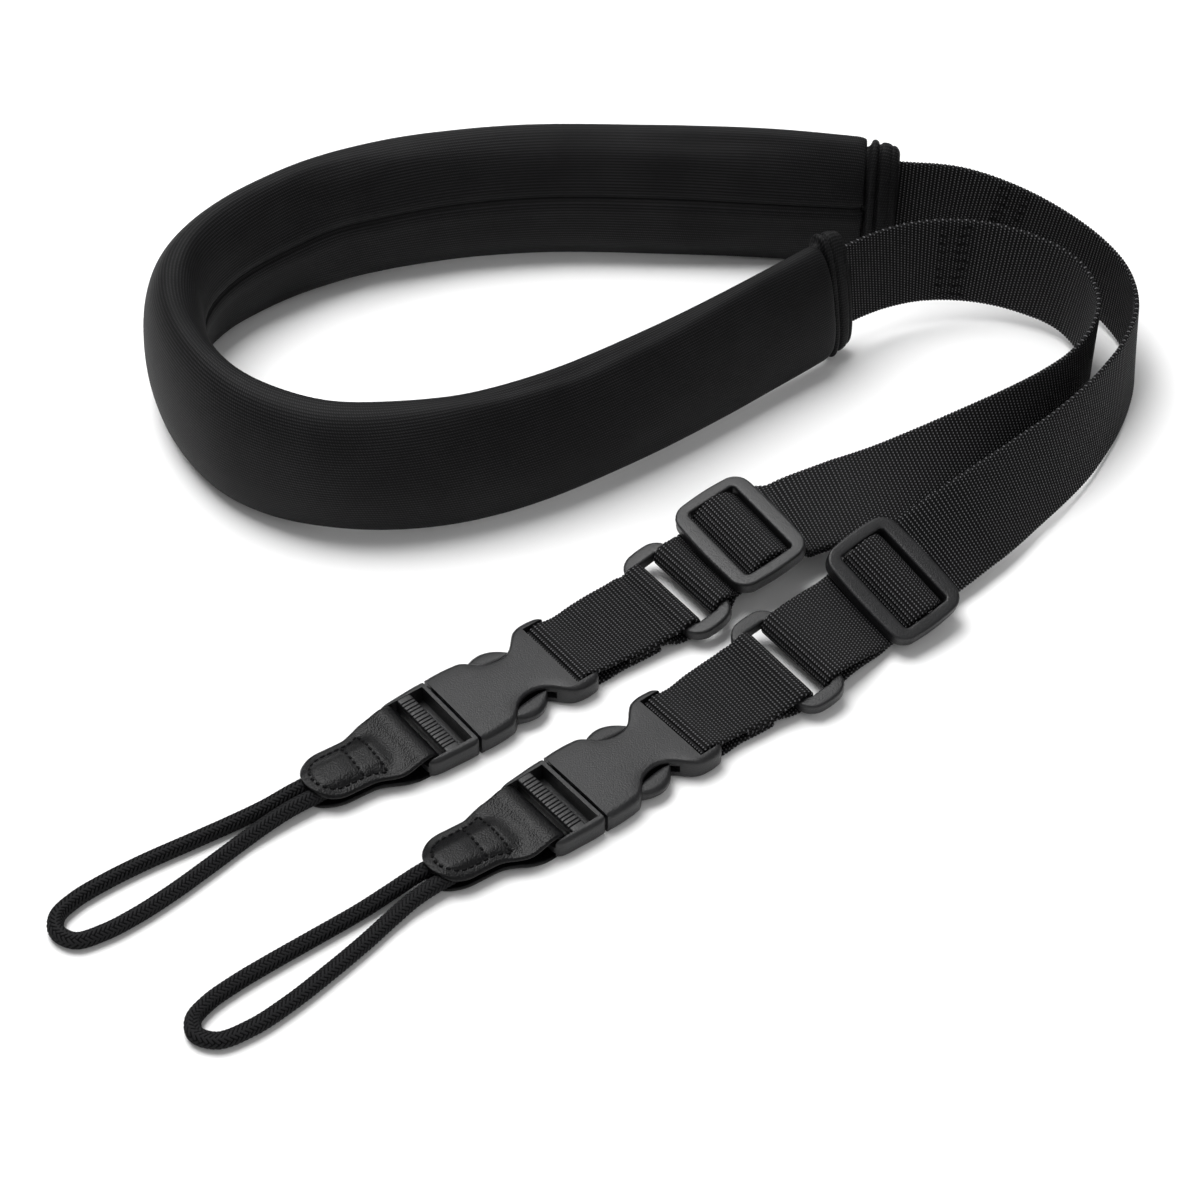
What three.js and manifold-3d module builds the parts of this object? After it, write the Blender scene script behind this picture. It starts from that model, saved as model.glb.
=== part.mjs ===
// Camera neck strap laid on a table: a foam neck pad standing on its edge, two webbing straps
// with sliders and rings, two side-release buckles, leather tabs and cord loops.
// Millimetres, +Z up. +X runs from the cord loops towards the bend of the straps.
import * as THREE from 'three';
import { mergeVertices } from 'three/addons/utils/BufferGeometryUtils.js';
import Module from 'manifold-3d';

const wasm = await Module();
wasm.setup();

// ---- driving dimensions ----
const layCentre = { x: 12.5, y: 29 };               // middle of the laid strap, moved to the origin
const gap = 0.3;                                    // clearance kept between touching pieces
const web = { width: 25, thick: 1.4, layer: 1.7 };  // layer: pitch of two webbings lying together
const turn = { clear: 0.5, start: 0.2 };            // webbing round a ring's bar
const pad = { middle: 20.9, section: 22, step: 11 };
const cuff = { length: 8.5, height: 39.2, thick: 10, nose: 2.2, section: 16 };
const slider = {
  long: 23.6, wide: 32.4, thick: 4.2, frame: 3.2, corner: 5, window: 1.2, bevel: 0.7,
  bar: 4, barTop: -0.3, barLift: 0.3,
};
const ring = { long: 14.6, wide: 34, thick: 3.6, rod: 3.6, corner: 5.6, window: 1.4, bevel: 0.7 };
const sewnLoop = { barRadius: 2.65, narrow: 11.2, widensOver: 20 };
const buckle = {
  half: 3.3, wall: 1.3, mouth: 12.9, slot: 30.4, bevel: 0.8, roomTo: 23.4, roomHalf: 11.2,
  tailBar: 34.2, tailHalf: 11.8, tailRod: 2.6, tailTall: 2.8,
};
const notch = { from: 23, to: 25.2, half: 13, tall: 1.1 };   // where the latch's teeth catch
const latch = { half: 3.0, end: -15.6, arm: 1.6, bevel: 0.8, inside: 10.9, root: -1.2, guide: 15 };
const tab = {
  thick: 1.4, tip: -43.6, level: 2.65, barAt: -14.1, half: 8.1, wide: 10.5,
  widensFrom: -29, widensTo: -20.5,
};
const cord = { diameter: 4, sides: 8, step: 3.4 };
const past = 5;                                     // cutters reach this far beyond a moulded piece

// ---- routes ----
// Each row is a point on the middle line; roll turns the webbing from flat (0) to on edge (90).
const nearRoute = table(['x', 'y', 'z', 'roll'], [
  [-41, -96, 3.4, 0], [-19, -81, 3.4, 0], [-6, -71, 3.4, 0], [17.5, -50.5, 3.5, 0],
  [32, -39.5, 4.2, 2], [47.8, -27.8, 5.5, 5], [61, -16.2, 8.2, 11], [76, -3.7, 10.7, 19],
  [89, 7.8, 12, 30], [102, 19.2, 13, 46], [115, 32, 13.4, 58], [127.5, 45.3, 13.4, 67],
  [138.2, 60.3, 13.2, 75], [146.5, 76.5, 13, 82], [150.5, 93, 13.4, 87], [147, 109.5, 14.4, 92],
  [135, 125, 16.2, 97], [118, 136.5, 18.8, 103], [103, 142, 20.9, 102], [86, 143.5, 21.7, 100],
]);
const farRoute = table(['x', 'y', 'z', 'roll'], [
  [-72.5, -70, 3.4, 0], [-51, -55.5, 3.4, 0], [-37, -45, 3.4, 0], [-13.9, -27, 3.5, 0],
  [3, -14, 4.2, 0], [20.2, -2, 5.4, 1], [27.3, 4, 8.8, 3], [36.9, 11.8, 12.7, 5],
  [48, 18.4, 13.2, 8], [60.5, 23.8, 12.4, 14], [76, 30.2, 12, 22], [89, 36.2, 12.6, 32],
  [101, 42.8, 13.2, 44], [112.5, 50.7, 13.4, 57], [122, 59, 13.4, 69], [130, 68.5, 13.4, 80],
  [136, 80, 13.6, 88], [138.6, 93, 14.2, 92], [133.5, 107, 15.6, 97], [121.5, 115.2, 17.2, 103],
  [106.5, 118.7, 18.8, 106], [91, 116.8, 20.2, 104], [78, 111.2, 20.7, 102],
  [68.7, 104.7, 20.9, 100],
]);
const padRoute = table(['x', 'y', 'roll'], [
  [76.9, 143.4, 100], [47, 147, 103], [14, 149.5, 106], [-18.8, 150.2, 106], [-51, 145.7, 104],
  [-78.8, 136.6, 99], [-98.8, 124, 94], [-113.2, 108.5, 90], [-119.4, 92.5, 87], [-118.5, 75.2, 85],
  [-111, 56.8, 84], [-97.2, 39.8, 83], [-74.8, 29.4, 82], [-47.3, 29.2, 80], [-17, 40, 80],
  [16.2, 61.8, 80], [47.6, 87.2, 80], [61.5, 98.9, 80],
]);
// The pad's section from its far end (0) to its near end (1); the extra goes to the inside of the bend.
const padSections = table(['share', 'tall', 'thick', 'inward'], [
  [0, 41, 12.8, 0], [0.06, 41, 13.8, 0.1], [0.14, 40, 15.4, 0.2], [0.3, 39.8, 16.2, 0.7],
  [0.4, 41, 17, 1.2], [0.5, 41.4, 17, 1.3], [0.58, 40.6, 16.6, 0.9], [0.66, 38.8, 16, 0.4],
  [0.76, 38, 15, 0.2], [0.9, 37.4, 13.8, 0], [1, 37.2, 12.8, 0],
]);
const nearCordRoute = table(['x', 'y', 'z'], [
  [-33, -88.7, 3.45], [-38, -92.2, 3.45], [-43.5, -96.2, 3.4], [-50, -101.2, 2.6], [-57, -106.8, 2.1],
  [-68, -115.2, 2.1], [-77, -122, 2.1], [-85, -128.4, 2.1], [-90.8, -134, 2.1], [-93.6, -138.8, 2.1],
  [-92.6, -142.9, 2.1], [-87.4, -144.6, 2.1], [-80, -141, 2.1], [-72, -134.2, 2.1], [-63, -124.8, 2.1],
  [-55.2, -116, 2.1], [-49, -108.6, 2.3], [-44.4, -103.8, 2.9], [-39.6, -99.9, 3.4], [-35, -96.6, 3.45],
  [-30.5, -93.4, 3.45],
]);
const farCordRoute = table(['x', 'y', 'z'], [
  [-64.5, -62.4, 3.45], [-70, -66.2, 3.45], [-75.5, -70.1, 3.4], [-82, -74.5, 2.6], [-88.5, -78.4, 2.1],
  [-98.5, -84.6, 2.1], [-110, -91.6, 2.1], [-118.6, -97.6, 2.1], [-125.4, -103.4, 2.1],
  [-128.8, -108.4, 2.1], [-128.2, -113, 2.1], [-123.6, -115.6, 2.1], [-117, -113, 2.1],
  [-110, -108, 2.1], [-102, -100.8, 2.1], [-93.8, -92.4, 2.1], [-86.6, -84.8, 2.1], [-81, -79.8, 2.8],
  [-75.4, -75.4, 3.4], [-70, -71.6, 3.45], [-64, -67.6, 3.45],
]);
const places = { mouth: 2, ring: 5, slider: 7 };   // rows of either route that carry a hard piece
const seats = table(['row', 'back', 'ahead', 'ease'], [
  [places.mouth, 18, 38, 8], [places.ring, 8, 6.5, 4], [places.slider, 10.5, 11, 5],
]);

// Upper webbing through the slider: distance from the slider's middle, and height over its mid plane.
const humpRows = table(['at', 'lift'], [
  [-12, -3.2], [-9, -3.1], [-6.6, -1.6], [-4.9, 0.8], [-2.6, 2.3], [0, 2.7],
  [2.6, 2.3], [4.9, 0.8], [6.6, -1.6], [9, -3.1], [13, -3.1], [20, -1.6], [32, 0],
]);

function table(columns, rows) {
  return rows.map((row) => Object.fromEntries(columns.map((name, i) => [name, row[i]])));
}

// ---- lines that carry the pieces ----
// A line gives, at a distance along it, its point and the directions forward, left and up,
// with left and up turned about forward by the roll of the rows on either side.
function makeLine(rows, height = 0, seats = []) {
  const points = rows.map((row) => new THREE.Vector3(row.x, row.y, row.z ?? height));
  const curve = new THREE.CatmullRomCurve3(points, false, 'centripetal');
  const perRow = 40;
  curve.arcLengthDivisions = (rows.length - 1) * perRow;
  const lengths = curve.getLengths();
  const marks = rows.map((row, i) => lengths[i * perRow]);
  const length = lengths[lengths.length - 1];
  const vertical = new THREE.Vector3(0, 0, 1);

  function rollAt(along) {
    const next = marks.findIndex((mark) => mark > along);
    const last = next === -1 ? rows.length - 2 : Math.max(0, next - 1);
    const t = THREE.MathUtils.smoothstep(along, marks[last], marks[last + 1]);
    return THREE.MathUtils.degToRad(THREE.MathUtils.lerp(rows[last].roll, rows[last + 1].roll, t));
  }
  function frameFrom(point, forward, left) {
    const up = forward.clone().cross(left).normalize();
    return { point, forward, left: up.clone().cross(forward), up };
  }
  function curveFrameAt(along) {
    const inside = THREE.MathUtils.clamp(along, 0, length);
    const point = curve.getPointAt(inside / length);
    const before = curve.getPointAt(Math.max(0, inside - 1) / length);
    const after = curve.getPointAt(Math.min(length, inside + 1) / length);
    const forward = after.sub(before).normalize();
    point.addScaledVector(forward, along - inside);
    const right = forward.clone().cross(vertical).normalize();
    const roll = rollAt(inside);
    const left = right.clone().multiplyScalar(-Math.cos(roll));
    left.addScaledVector(right.cross(forward), Math.sin(roll));
    return frameFrom(point, forward, left);
  }
  const flats = seats.map((seat) => ({ ...seat, at: marks[seat.row], frame: curveFrameAt(marks[seat.row]) }));
  // Under a hard piece the line runs straight and flat, and eases back to the curve past it.
  function frameAt(along) {
    let { point, forward, left } = curveFrameAt(along);
    for (const flat of flats) {
      const away = along - flat.at;
      const reach = away < 0 ? flat.back : flat.ahead;
      const hold = 1 - THREE.MathUtils.smoothstep(Math.abs(away), reach, reach + flat.ease);
      const straight = flat.frame.point.clone().addScaledVector(flat.frame.forward, away);
      point = point.lerp(straight, hold);
      forward = forward.lerp(flat.frame.forward, hold).normalize();
      left = left.lerp(flat.frame.left, hold);
    }
    return frameFrom(point, forward, left);
  }
  return { length, marks, frameAt };
}

// ---- building blocks ----
function meshFrom(vertices, triangles) {
  const geometry = new THREE.BufferGeometry();
  geometry.setAttribute('position', new THREE.Float32BufferAttribute(vertices.flatMap((v) => v.toArray()), 3));
  geometry.setIndex(triangles.flat());
  return geometry;
}

// Joins a row of closed loops of points into a skin, and closes both ends with fans.
function skin(loops) {
  const size = loops[0].length;
  const vertices = loops.flat();
  const triangles = [];
  for (let i = 0; i < loops.length - 1; i += 1) {
    for (let j = 0; j < size; j += 1) {
      const a = i * size + j;
      const b = i * size + (j + 1) % size;
      triangles.push([a, b + size, b], [a, a + size, b + size]);
    }
  }
  const last = (loops.length - 1) * size;
  for (let j = 1; j < size - 1; j += 1) {
    triangles.push([0, j, j + 1], [last, last + j + 1, last + j]);
  }
  return meshFrom(vertices, triangles);
}

// A flat band carried along a line: path holds places along the line and heights over it.
function band(line, path, halfWidthAt, thick) {
  const middles = path.map((place) => {
    const { point, up } = line.frameAt(place.x);
    return point.addScaledVector(up, place.y);
  });
  const loops = path.map((place, i) => {
    const { left } = line.frameAt(place.x);
    const middle = middles[i];
    const way = middles[Math.min(path.length - 1, i + 1)].clone().sub(middles[Math.max(0, i - 1)]);
    const normal = way.cross(left).normalize();
    const half = halfWidthAt(place.x);
    return [[1, -1], [-1, -1], [-1, 1], [1, 1]].map(([side, face]) => middle.clone()
      .addScaledVector(left, side * half).addScaledVector(normal, face * thick / 2));
  });
  return skin(loops);
}

function smoothPath(places, step) {
  const points = places.map((place) => new THREE.Vector3(place.x, place.y, 0));
  const curve = new THREE.CatmullRomCurve3(points, false, 'centripetal');
  const count = Math.ceil(curve.getLength() / step);
  return curve.getSpacedPoints(count).map((p) => new THREE.Vector2(p.x, p.y));
}

// Half turn round a bar at (at, 0), from one side's height to the other's.
function halfTurn(at, radius, facing, rising, steps = 8) {
  return Array.from({ length: steps + 1 }, (unused, i) => {
    const angle = Math.PI * (i / steps - 0.5) * (rising ? 1 : -1);
    return new THREE.Vector2(at + facing * radius * Math.cos(angle), radius * Math.sin(angle));
  });
}

function roundedRectangle(long, wide, radius) {
  const shape = new THREE.Shape();
  const x = long / 2;
  const y = wide / 2;
  shape.moveTo(-x + radius, -y);
  shape.lineTo(x - radius, -y);
  shape.absarc(x - radius, -y + radius, radius, -Math.PI / 2, 0, false);
  shape.lineTo(x, y - radius);
  shape.absarc(x - radius, y - radius, radius, 0, Math.PI / 2, false);
  shape.lineTo(-x + radius, y);
  shape.absarc(-x + radius, y - radius, radius, Math.PI / 2, Math.PI, false);
  shape.lineTo(-x, -y + radius);
  shape.absarc(-x + radius, -y + radius, radius, Math.PI, 1.5 * Math.PI, false);
  return shape;
}

// A plate of a plan outline, centred on its mid plane, with chamfered edges.
function plate(shape, thick, bevel, curveSegments = 5) {
  const geometry = new THREE.ExtrudeGeometry(shape, {
    depth: thick - 2 * bevel, bevelThickness: bevel, bevelSize: bevel, bevelOffset: -bevel,
    bevelSegments: 1, bevelEnabled: bevel > 0, curveSegments,
  });
  return geometry.translate(0, 0, bevel - thick / 2);
}

function block(fromX, toX, fromY, toY, fromZ, toZ) {
  const geometry = new THREE.BoxGeometry(toX - fromX, toY - fromY, toZ - fromZ);
  return geometry.translate((fromX + toX) / 2, (fromY + toY) / 2, (fromZ + toZ) / 2);
}

function solid(geometry) {
  const bare = geometry.clone();
  bare.deleteAttribute('normal');
  bare.deleteAttribute('uv');
  const merged = mergeVertices(bare, 1e-4);
  return new wasm.Manifold(new wasm.Mesh({
    numProp: 3,
    vertProperties: new Float32Array(merged.attributes.position.array),
    triVerts: new Uint32Array(merged.index.array),
  }));
}

function fromSolid(shape) {
  const mesh = shape.getMesh();
  const geometry = new THREE.BufferGeometry();
  geometry.setAttribute('position', new THREE.BufferAttribute(mesh.vertProperties, 3));
  geometry.setIndex(new THREE.BufferAttribute(mesh.triVerts, 1));
  return geometry;
}

// A plan outline that is the same on both sides of the middle line, from rows of place and half width.
function mirroredOutline(rows) {
  const shape = new THREE.Shape();
  rows.forEach((row, i) => (i ? shape.lineTo(row.at, -row.half) : shape.moveTo(row.at, -row.half)));
  [...rows].reverse().forEach((row) => shape.lineTo(row.at, row.half));
  shape.closePath();
  return shape;
}

// ---- neck pad and its cuffs ----
// Section: an upright oval, fuller than an ellipse. Power below 1 squares the ellipse.
const fullness = { pad: 0.88, cuff: 0.8 };

function ovalLoop(frame, height, thick, sides, power) {
  return Array.from({ length: sides }, (unused, i) => {
    const angle = 2 * Math.PI * i / sides;
    const c = Math.cos(angle);
    const s = Math.sin(angle);
    return frame.point.clone()
      .addScaledVector(frame.left, height / 2 * Math.sign(c) * Math.abs(c) ** power)
      .addScaledVector(frame.up, -thick / 2 * Math.sign(s) * Math.abs(s) ** power);
  });
}

function padGeometry(line) {
  const count = Math.round(line.length / pad.step);
  const loops = Array.from({ length: count + 1 }, (unused, i) => {
    const share = i / count;
    const row = Math.max(1, padSections.findIndex((section) => section.share >= share));
    const before = padSections[row - 1];
    const after = padSections[row];
    const t = (share - before.share) / (after.share - before.share);
    const [tall, thick, inward] = ['tall', 'thick', 'inward']
      .map((name) => THREE.MathUtils.lerp(before[name], after[name], t));
    const frame = line.frameAt(line.length * share);
    frame.point.addScaledVector(frame.up, -inward);
    return ovalLoop(frame, tall, thick, pad.section, fullness.pad);
  });
  return skin(loops);
}

// The cuff stands off the pad's end and rounds off where the webbing leaves it.
function cuffGeometry(line, start, direction) {
  const rows = table(['out', 'size'], [
    [gap, 0.97], [1.2, 1], [cuff.length - cuff.nose, 1], [cuff.length - 0.6, 0.9], [cuff.length, 0.76],
  ]);
  const stations = rows.map((row) => ({ at: start + direction * row.out, size: row.size }));
  if (direction < 0) stations.reverse();
  return skin(stations.map(({ at, size }) => (
    ovalLoop(line.frameAt(at), cuff.height * (0.5 + size / 2), cuff.thick * size, cuff.section,
      fullness.cuff))));
}

// ---- webbing ----
function offsetPath(path, distance) {
  return path.map((place, i) => {
    const before = path[Math.max(0, i - 1)];
    const after = path[Math.min(path.length - 1, i + 1)];
    const way = after.clone().sub(before).normalize();
    return new THREE.Vector2(place.x + way.y * distance, place.y - way.x * distance);
  });
}

// Strap: pad, slider hump, round the ring's bar, back below, and a second time through the slider.
function strapGeometry(line, tailLength) {
  const sliderAt = line.marks[places.slider];
  const foldAt = line.marks[places.ring] + (ring.long - ring.rod) / 2;
  const radius = ring.rod / 2 + turn.clear + web.thick / 2;
  const hump = smoothPath(humpRows.map((row) => new THREE.Vector2(sliderAt + row.at, row.lift)), 1.3);
  const upperStart = new THREE.Vector2(foldAt + turn.start, radius);
  const upper = smoothPath([upperStart, new THREE.Vector2(foldAt + 1.3, radius), hump[0]], 2.2);
  const toPad = [];
  for (let at = sliderAt + 37; at < line.length - 1; at += 6) toPad.push(new THREE.Vector2(at, 0));
  toPad.push(new THREE.Vector2(line.length, 0));
  const tail = offsetPath(hump, web.layer).filter((place) => place.x < sliderAt + tailLength);
  const lower = smoothPath([tail[0], new THREE.Vector2(foldAt + 1.6, -radius),
    new THREE.Vector2(foldAt + turn.start, -radius)], 2.2);
  const path = [
    ...tail.reverse(), ...lower.slice(1), ...halfTurn(foldAt, radius, -1, true).slice(1, -1),
    ...upper.slice(0, -1), ...hump, ...toPad,
  ];
  return band(line, path, () => web.width / 2, web.thick);
}

// Short sewn loop between the ring and the buckle, its ends lapped below.
function buckleLoopGeometry(line) {
  const mouthAt = line.marks[places.mouth];
  const barAt = mouthAt + buckle.tailBar;
  const ringBarAt = line.marks[places.ring] - (ring.long - ring.rod) / 2;
  const { barRadius } = sewnLoop;
  const ringRadius = ring.rod / 2 + turn.clear + web.thick / 2;
  const sewn = web.layer / 2;
  const place = (at, lift) => new THREE.Vector2(at, lift);
  const upper = smoothPath([
    place(barAt + turn.start, barRadius), place(barAt + 6, sewn + 0.6), place(barAt + 11, sewn),
    place(ringBarAt - 8, sewn), place(ringBarAt - 4, sewn + 1), place(ringBarAt - turn.start, ringRadius),
  ], 2);
  const lower = smoothPath([
    place(ringBarAt - turn.start, -ringRadius), place(ringBarAt - 4, -sewn - 1.1),
    place(ringBarAt - 8, -sewn), place(barAt + 13, -sewn),
  ], 2);
  const lapped = smoothPath([
    place(ringBarAt - 8.5, -sewn - web.layer), place(barAt + 12, -sewn - web.layer),
    place(barAt + 6, -barRadius - 0.1), place(barAt + turn.start, -barRadius),
  ], 2);
  const path = [
    ...lapped, ...halfTurn(barAt, barRadius, -1, true).slice(1, -1), ...upper,
    ...halfTurn(ringBarAt, ringRadius, 1, false).slice(1, -1), ...lower,
  ];
  const halfWidthAt = (at) => THREE.MathUtils.lerp(sewnLoop.narrow, web.width / 2,
    THREE.MathUtils.smoothstep(at, barAt, barAt + sewnLoop.widensOver));
  return band(line, path, halfWidthAt, web.thick);
}

// ---- moulded pieces, each in its own frame: x along the strap, y to the left, z up ----
function sliderGeometry() {
  const frame = roundedRectangle(slider.long, slider.wide, slider.corner);
  frame.holes.push(roundedRectangle(slider.long - 2 * slider.frame, slider.wide - 2 * slider.frame,
    slider.window));
  const halfOpening = slider.wide / 2 - slider.frame;
  const bar = block(-slider.bar / 2, slider.bar / 2, -halfOpening - 1, halfOpening + 1,
    slider.barLift - slider.thick / 2, slider.barTop);
  return fromSolid(solid(plate(frame, slider.thick, slider.bevel)).add(solid(bar)));
}

function ringGeometry() {
  const frame = roundedRectangle(ring.long, ring.wide, ring.corner);
  frame.holes.push(roundedRectangle(ring.long - 2 * ring.rod, ring.wide - 2 * ring.rod,
    ring.window));
  return plate(frame, ring.thick, ring.bevel);
}

function femaleGeometry() {
  const outline = mirroredOutline(table(['at', 'half'], [
    [0, 12.2], [1, buckle.mouth], [8.6, buckle.mouth], [10.4, 12.4], [12, 11], [13.8, 9], [16, 7.6],
    [18.4, 7], [20.8, 7.1], [22.8, 7.9], [24.6, 9.4], [26.4, 11.4], [28, 12.9], [29.6, 13.6],
    [31.6, 13.9], [33.8, 13.9], [35.4, 13.6], [36.4, 12.9], [37, 12],
  ]));
  const armRoom = buckle.half - buckle.wall;
  const cavity = block(-past, buckle.roomTo, -buckle.roomHalf, buckle.roomHalf, -armRoom, armRoom);
  const catches = block(notch.from, notch.to, -notch.half, notch.half, -notch.tall, notch.tall);
  const tailRoom = block(buckle.slot, buckle.slot + 2 * past, -buckle.tailHalf, buckle.tailHalf, -past, past);
  const bar = plate(roundedRectangle(buckle.tailRod, buckle.tailTall, 0.6), 2 * buckle.tailHalf + 1.6, 0, 2)
    .rotateX(Math.PI / 2).translate(buckle.tailBar, 0, 0);
  return fromSolid(solid(plate(outline, 2 * buckle.half, buckle.bevel))
    .subtract(solid(cavity)).subtract(solid(catches)).subtract(solid(tailRoom)).add(solid(bar)));
}

function maleGeometry() {
  const outline = mirroredOutline(table(['at', 'half'], [
    [latch.end, 9.6], [latch.end + 0.6, 11], [latch.end + 2, 11.9], [-8, 12.5], [-1.3, 12.7], [-0.4, 11.8],
  ]));
  const across = (fromX, toX, fromZ, toZ, side = latch.inside) => (
    solid(block(fromX, toX, -side, side, fromZ, toZ)));
  const openings = [
    across(-12.8, -9.4, -past, past),                // behind the end bar
    across(-5.6, -1.5, -past, past),                 // behind the grip bar
    across(-9.5, -5.5, 2.5, past),                   // above the grip bar
    across(-9.5, -5.5, -past, 0.2),                  // below it
    across(-17, -12.7, 1, past),                     // above the end bar
    across(-17, -12.7, -past, -1),                   // below it
    across(-17, -15.4, -past, past),                 // past its front
  ];
  const lowerPlate = across(-4.4, latch.root, -2.4, -0.6, latch.inside + 0.5);
  const arm = new THREE.Shape();
  [[latch.root, 9], [8, 8.9], [15, 8.2], [21.4, 7.4], [22.4, 8.4], [21.6, 10], [20, 11.6], [17.6, 12.5],
    [15, 12.3], [12.6, 11.4], [11, 10.7], [latch.root, 10.7]]
    .forEach(([at, side], i) => (i ? arm.lineTo(at, side) : arm.moveTo(at, side)));
  arm.closePath();
  const leftArm = solid(plate(arm, 2 * latch.arm, 0.4));
  const guide = block(latch.root, latch.guide, -2.4, 2.4, -latch.arm, latch.arm);
  const body = openings.reduce((rest, opening) => rest.subtract(opening),
    solid(plate(outline, 2 * latch.half, latch.bevel)));
  return fromSolid(body.add(lowerPlate).add(leftArm).add(leftArm.mirror([0, 1, 0])).add(solid(guide)));
}

// ---- leather tab: folded round the latch's end bar, with the cord ends between its layers ----
function tabHalfWidthAt(fromMouth) {
  const radius = tab.half;
  const round = tab.tip + radius;
  if (fromMouth < round) return Math.sqrt(Math.max(1.5, radius ** 2 - (round - fromMouth) ** 2));
  return THREE.MathUtils.lerp(radius, tab.wide,
    THREE.MathUtils.smoothstep(fromMouth, tab.widensFrom, tab.widensTo));
}

function tabGeometry(line) {
  const mouthAt = line.marks[places.mouth];
  const place = (at, lift) => new THREE.Vector2(mouthAt + at, lift);
  const ends = [0.1, 0.4, 0.9, 1.7, 2.8, 4.4].map((distance) => tab.tip + distance);
  const lower = smoothPath([
    place(-37.5, -tab.level), place(-26, -tab.level), place(tab.barAt - 0.2, -tab.level),
  ], 2);
  const upper = smoothPath([
    place(tab.barAt - 0.2, tab.level), place(-26, tab.level), place(-37.5, tab.level),
  ], 2);
  const path = [
    ...ends.map((at) => place(at, -tab.level)), ...lower,
    ...halfTurn(mouthAt + tab.barAt, tab.level, 1, true).slice(1, -1), ...upper,
    ...ends.reverse().map((at) => place(at, tab.level)),
  ];
  return band(line, path, (at) => tabHalfWidthAt(at - mouthAt), tab.thick);
}

// ---- cord loops ----
function cordGeometry(route) {
  const points = route.map((row) => new THREE.Vector3(row.x, row.y, row.z));
  const path = new THREE.CatmullRomCurve3(points, false, 'centripetal');
  const section = new THREE.Shape();
  for (let i = 0; i < cord.sides; i += 1) {
    const angle = 2 * Math.PI * (i + 0.5) / cord.sides;
    const x = cord.diameter / 2 * Math.cos(angle);
    const y = cord.diameter / 2 * Math.sin(angle);
    if (i) section.lineTo(x, y);
    else section.moveTo(x, y);
  }
  section.closePath();
  const steps = Math.round(path.getLength() / cord.step);
  return new THREE.ExtrudeGeometry(section, { steps, extrudePath: path, bevelEnabled: false });
}

// ---- assembly ----
const finishes = {
  foam: { color: 0x1b1b1c, roughness: 0.95, metalness: 0 },
  webbing: { color: 0x1a1a1b, roughness: 0.9, metalness: 0 },
  moulded: { color: 0x38383a, roughness: 0.55, metalness: 0 },
  leather: { color: 0x2e2e30, roughness: 0.6, metalness: 0 },
  braid: { color: 0x161617, roughness: 0.9, metalness: 0 },
};

const strap = new THREE.Group();
strap.position.set(-layCentre.x, -layCentre.y, 0);

function add(name, geometry, finish, frame) {
  const mesh = new THREE.Mesh(geometry, new THREE.MeshStandardMaterial(finishes[finish]));
  mesh.name = name;
  if (frame) {
    mesh.matrix.makeBasis(frame.forward, frame.left, frame.up).setPosition(frame.point);
    mesh.matrix.decompose(mesh.position, mesh.quaternion, mesh.scale);
  }
  strap.add(mesh);
}

const padLine = makeLine(padRoute, pad.middle);
add('neck_pad', padGeometry(padLine), 'foam');
add('pad_cuff_far', cuffGeometry(padLine, 0, -1), 'foam');
add('pad_cuff_near', cuffGeometry(padLine, padLine.length, 1), 'foam');

const sides = [
  { side: 'near', line: makeLine(nearRoute, 0, seats), cordRoute: nearCordRoute, tail: 22 },
  { side: 'far', line: makeLine(farRoute, 0, seats), cordRoute: farCordRoute, tail: 26 },
];
for (const { side, line, cordRoute, tail } of sides) {
  add(`strap_${side}`, strapGeometry(line, tail), 'webbing');
  add(`slider_${side}`, sliderGeometry(), 'moulded', line.frameAt(line.marks[places.slider]));
  add(`ring_${side}`, ringGeometry(), 'moulded', line.frameAt(line.marks[places.ring]));
  add(`buckle_loop_${side}`, buckleLoopGeometry(line), 'webbing');
  add(`buckle_female_${side}`, femaleGeometry(), 'moulded', line.frameAt(line.marks[places.mouth]));
  add(`buckle_male_${side}`, maleGeometry(), 'moulded', line.frameAt(line.marks[places.mouth]));
  add(`leather_tab_${side}`, tabGeometry(line), 'leather');
  add(`cord_loop_${side}`, cordGeometry(cordRoute), 'braid');
}

export default strap;
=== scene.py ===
import bmesh
import bpy
import numpy as np
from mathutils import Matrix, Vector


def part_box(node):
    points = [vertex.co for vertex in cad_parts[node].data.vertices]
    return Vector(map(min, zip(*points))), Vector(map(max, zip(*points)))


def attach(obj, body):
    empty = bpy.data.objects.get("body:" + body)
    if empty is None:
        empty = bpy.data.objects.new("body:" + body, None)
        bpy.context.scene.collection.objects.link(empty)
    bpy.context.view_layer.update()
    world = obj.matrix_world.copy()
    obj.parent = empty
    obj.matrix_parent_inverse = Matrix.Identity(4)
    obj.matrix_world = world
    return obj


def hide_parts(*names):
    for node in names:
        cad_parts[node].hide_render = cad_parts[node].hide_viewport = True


# A padded camera neck strap, laid on a pale studio floor. Metres throughout; mm turns millimetres to metres.
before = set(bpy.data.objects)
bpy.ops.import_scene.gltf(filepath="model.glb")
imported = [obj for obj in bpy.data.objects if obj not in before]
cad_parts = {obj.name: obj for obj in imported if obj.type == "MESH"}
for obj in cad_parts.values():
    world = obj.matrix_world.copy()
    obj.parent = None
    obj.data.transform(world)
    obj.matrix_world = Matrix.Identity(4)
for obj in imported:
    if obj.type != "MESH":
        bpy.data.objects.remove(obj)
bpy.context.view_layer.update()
mm = 0.001
sides = ("near", "far")
print("frame loaded:", len(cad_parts), "nodes")

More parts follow.
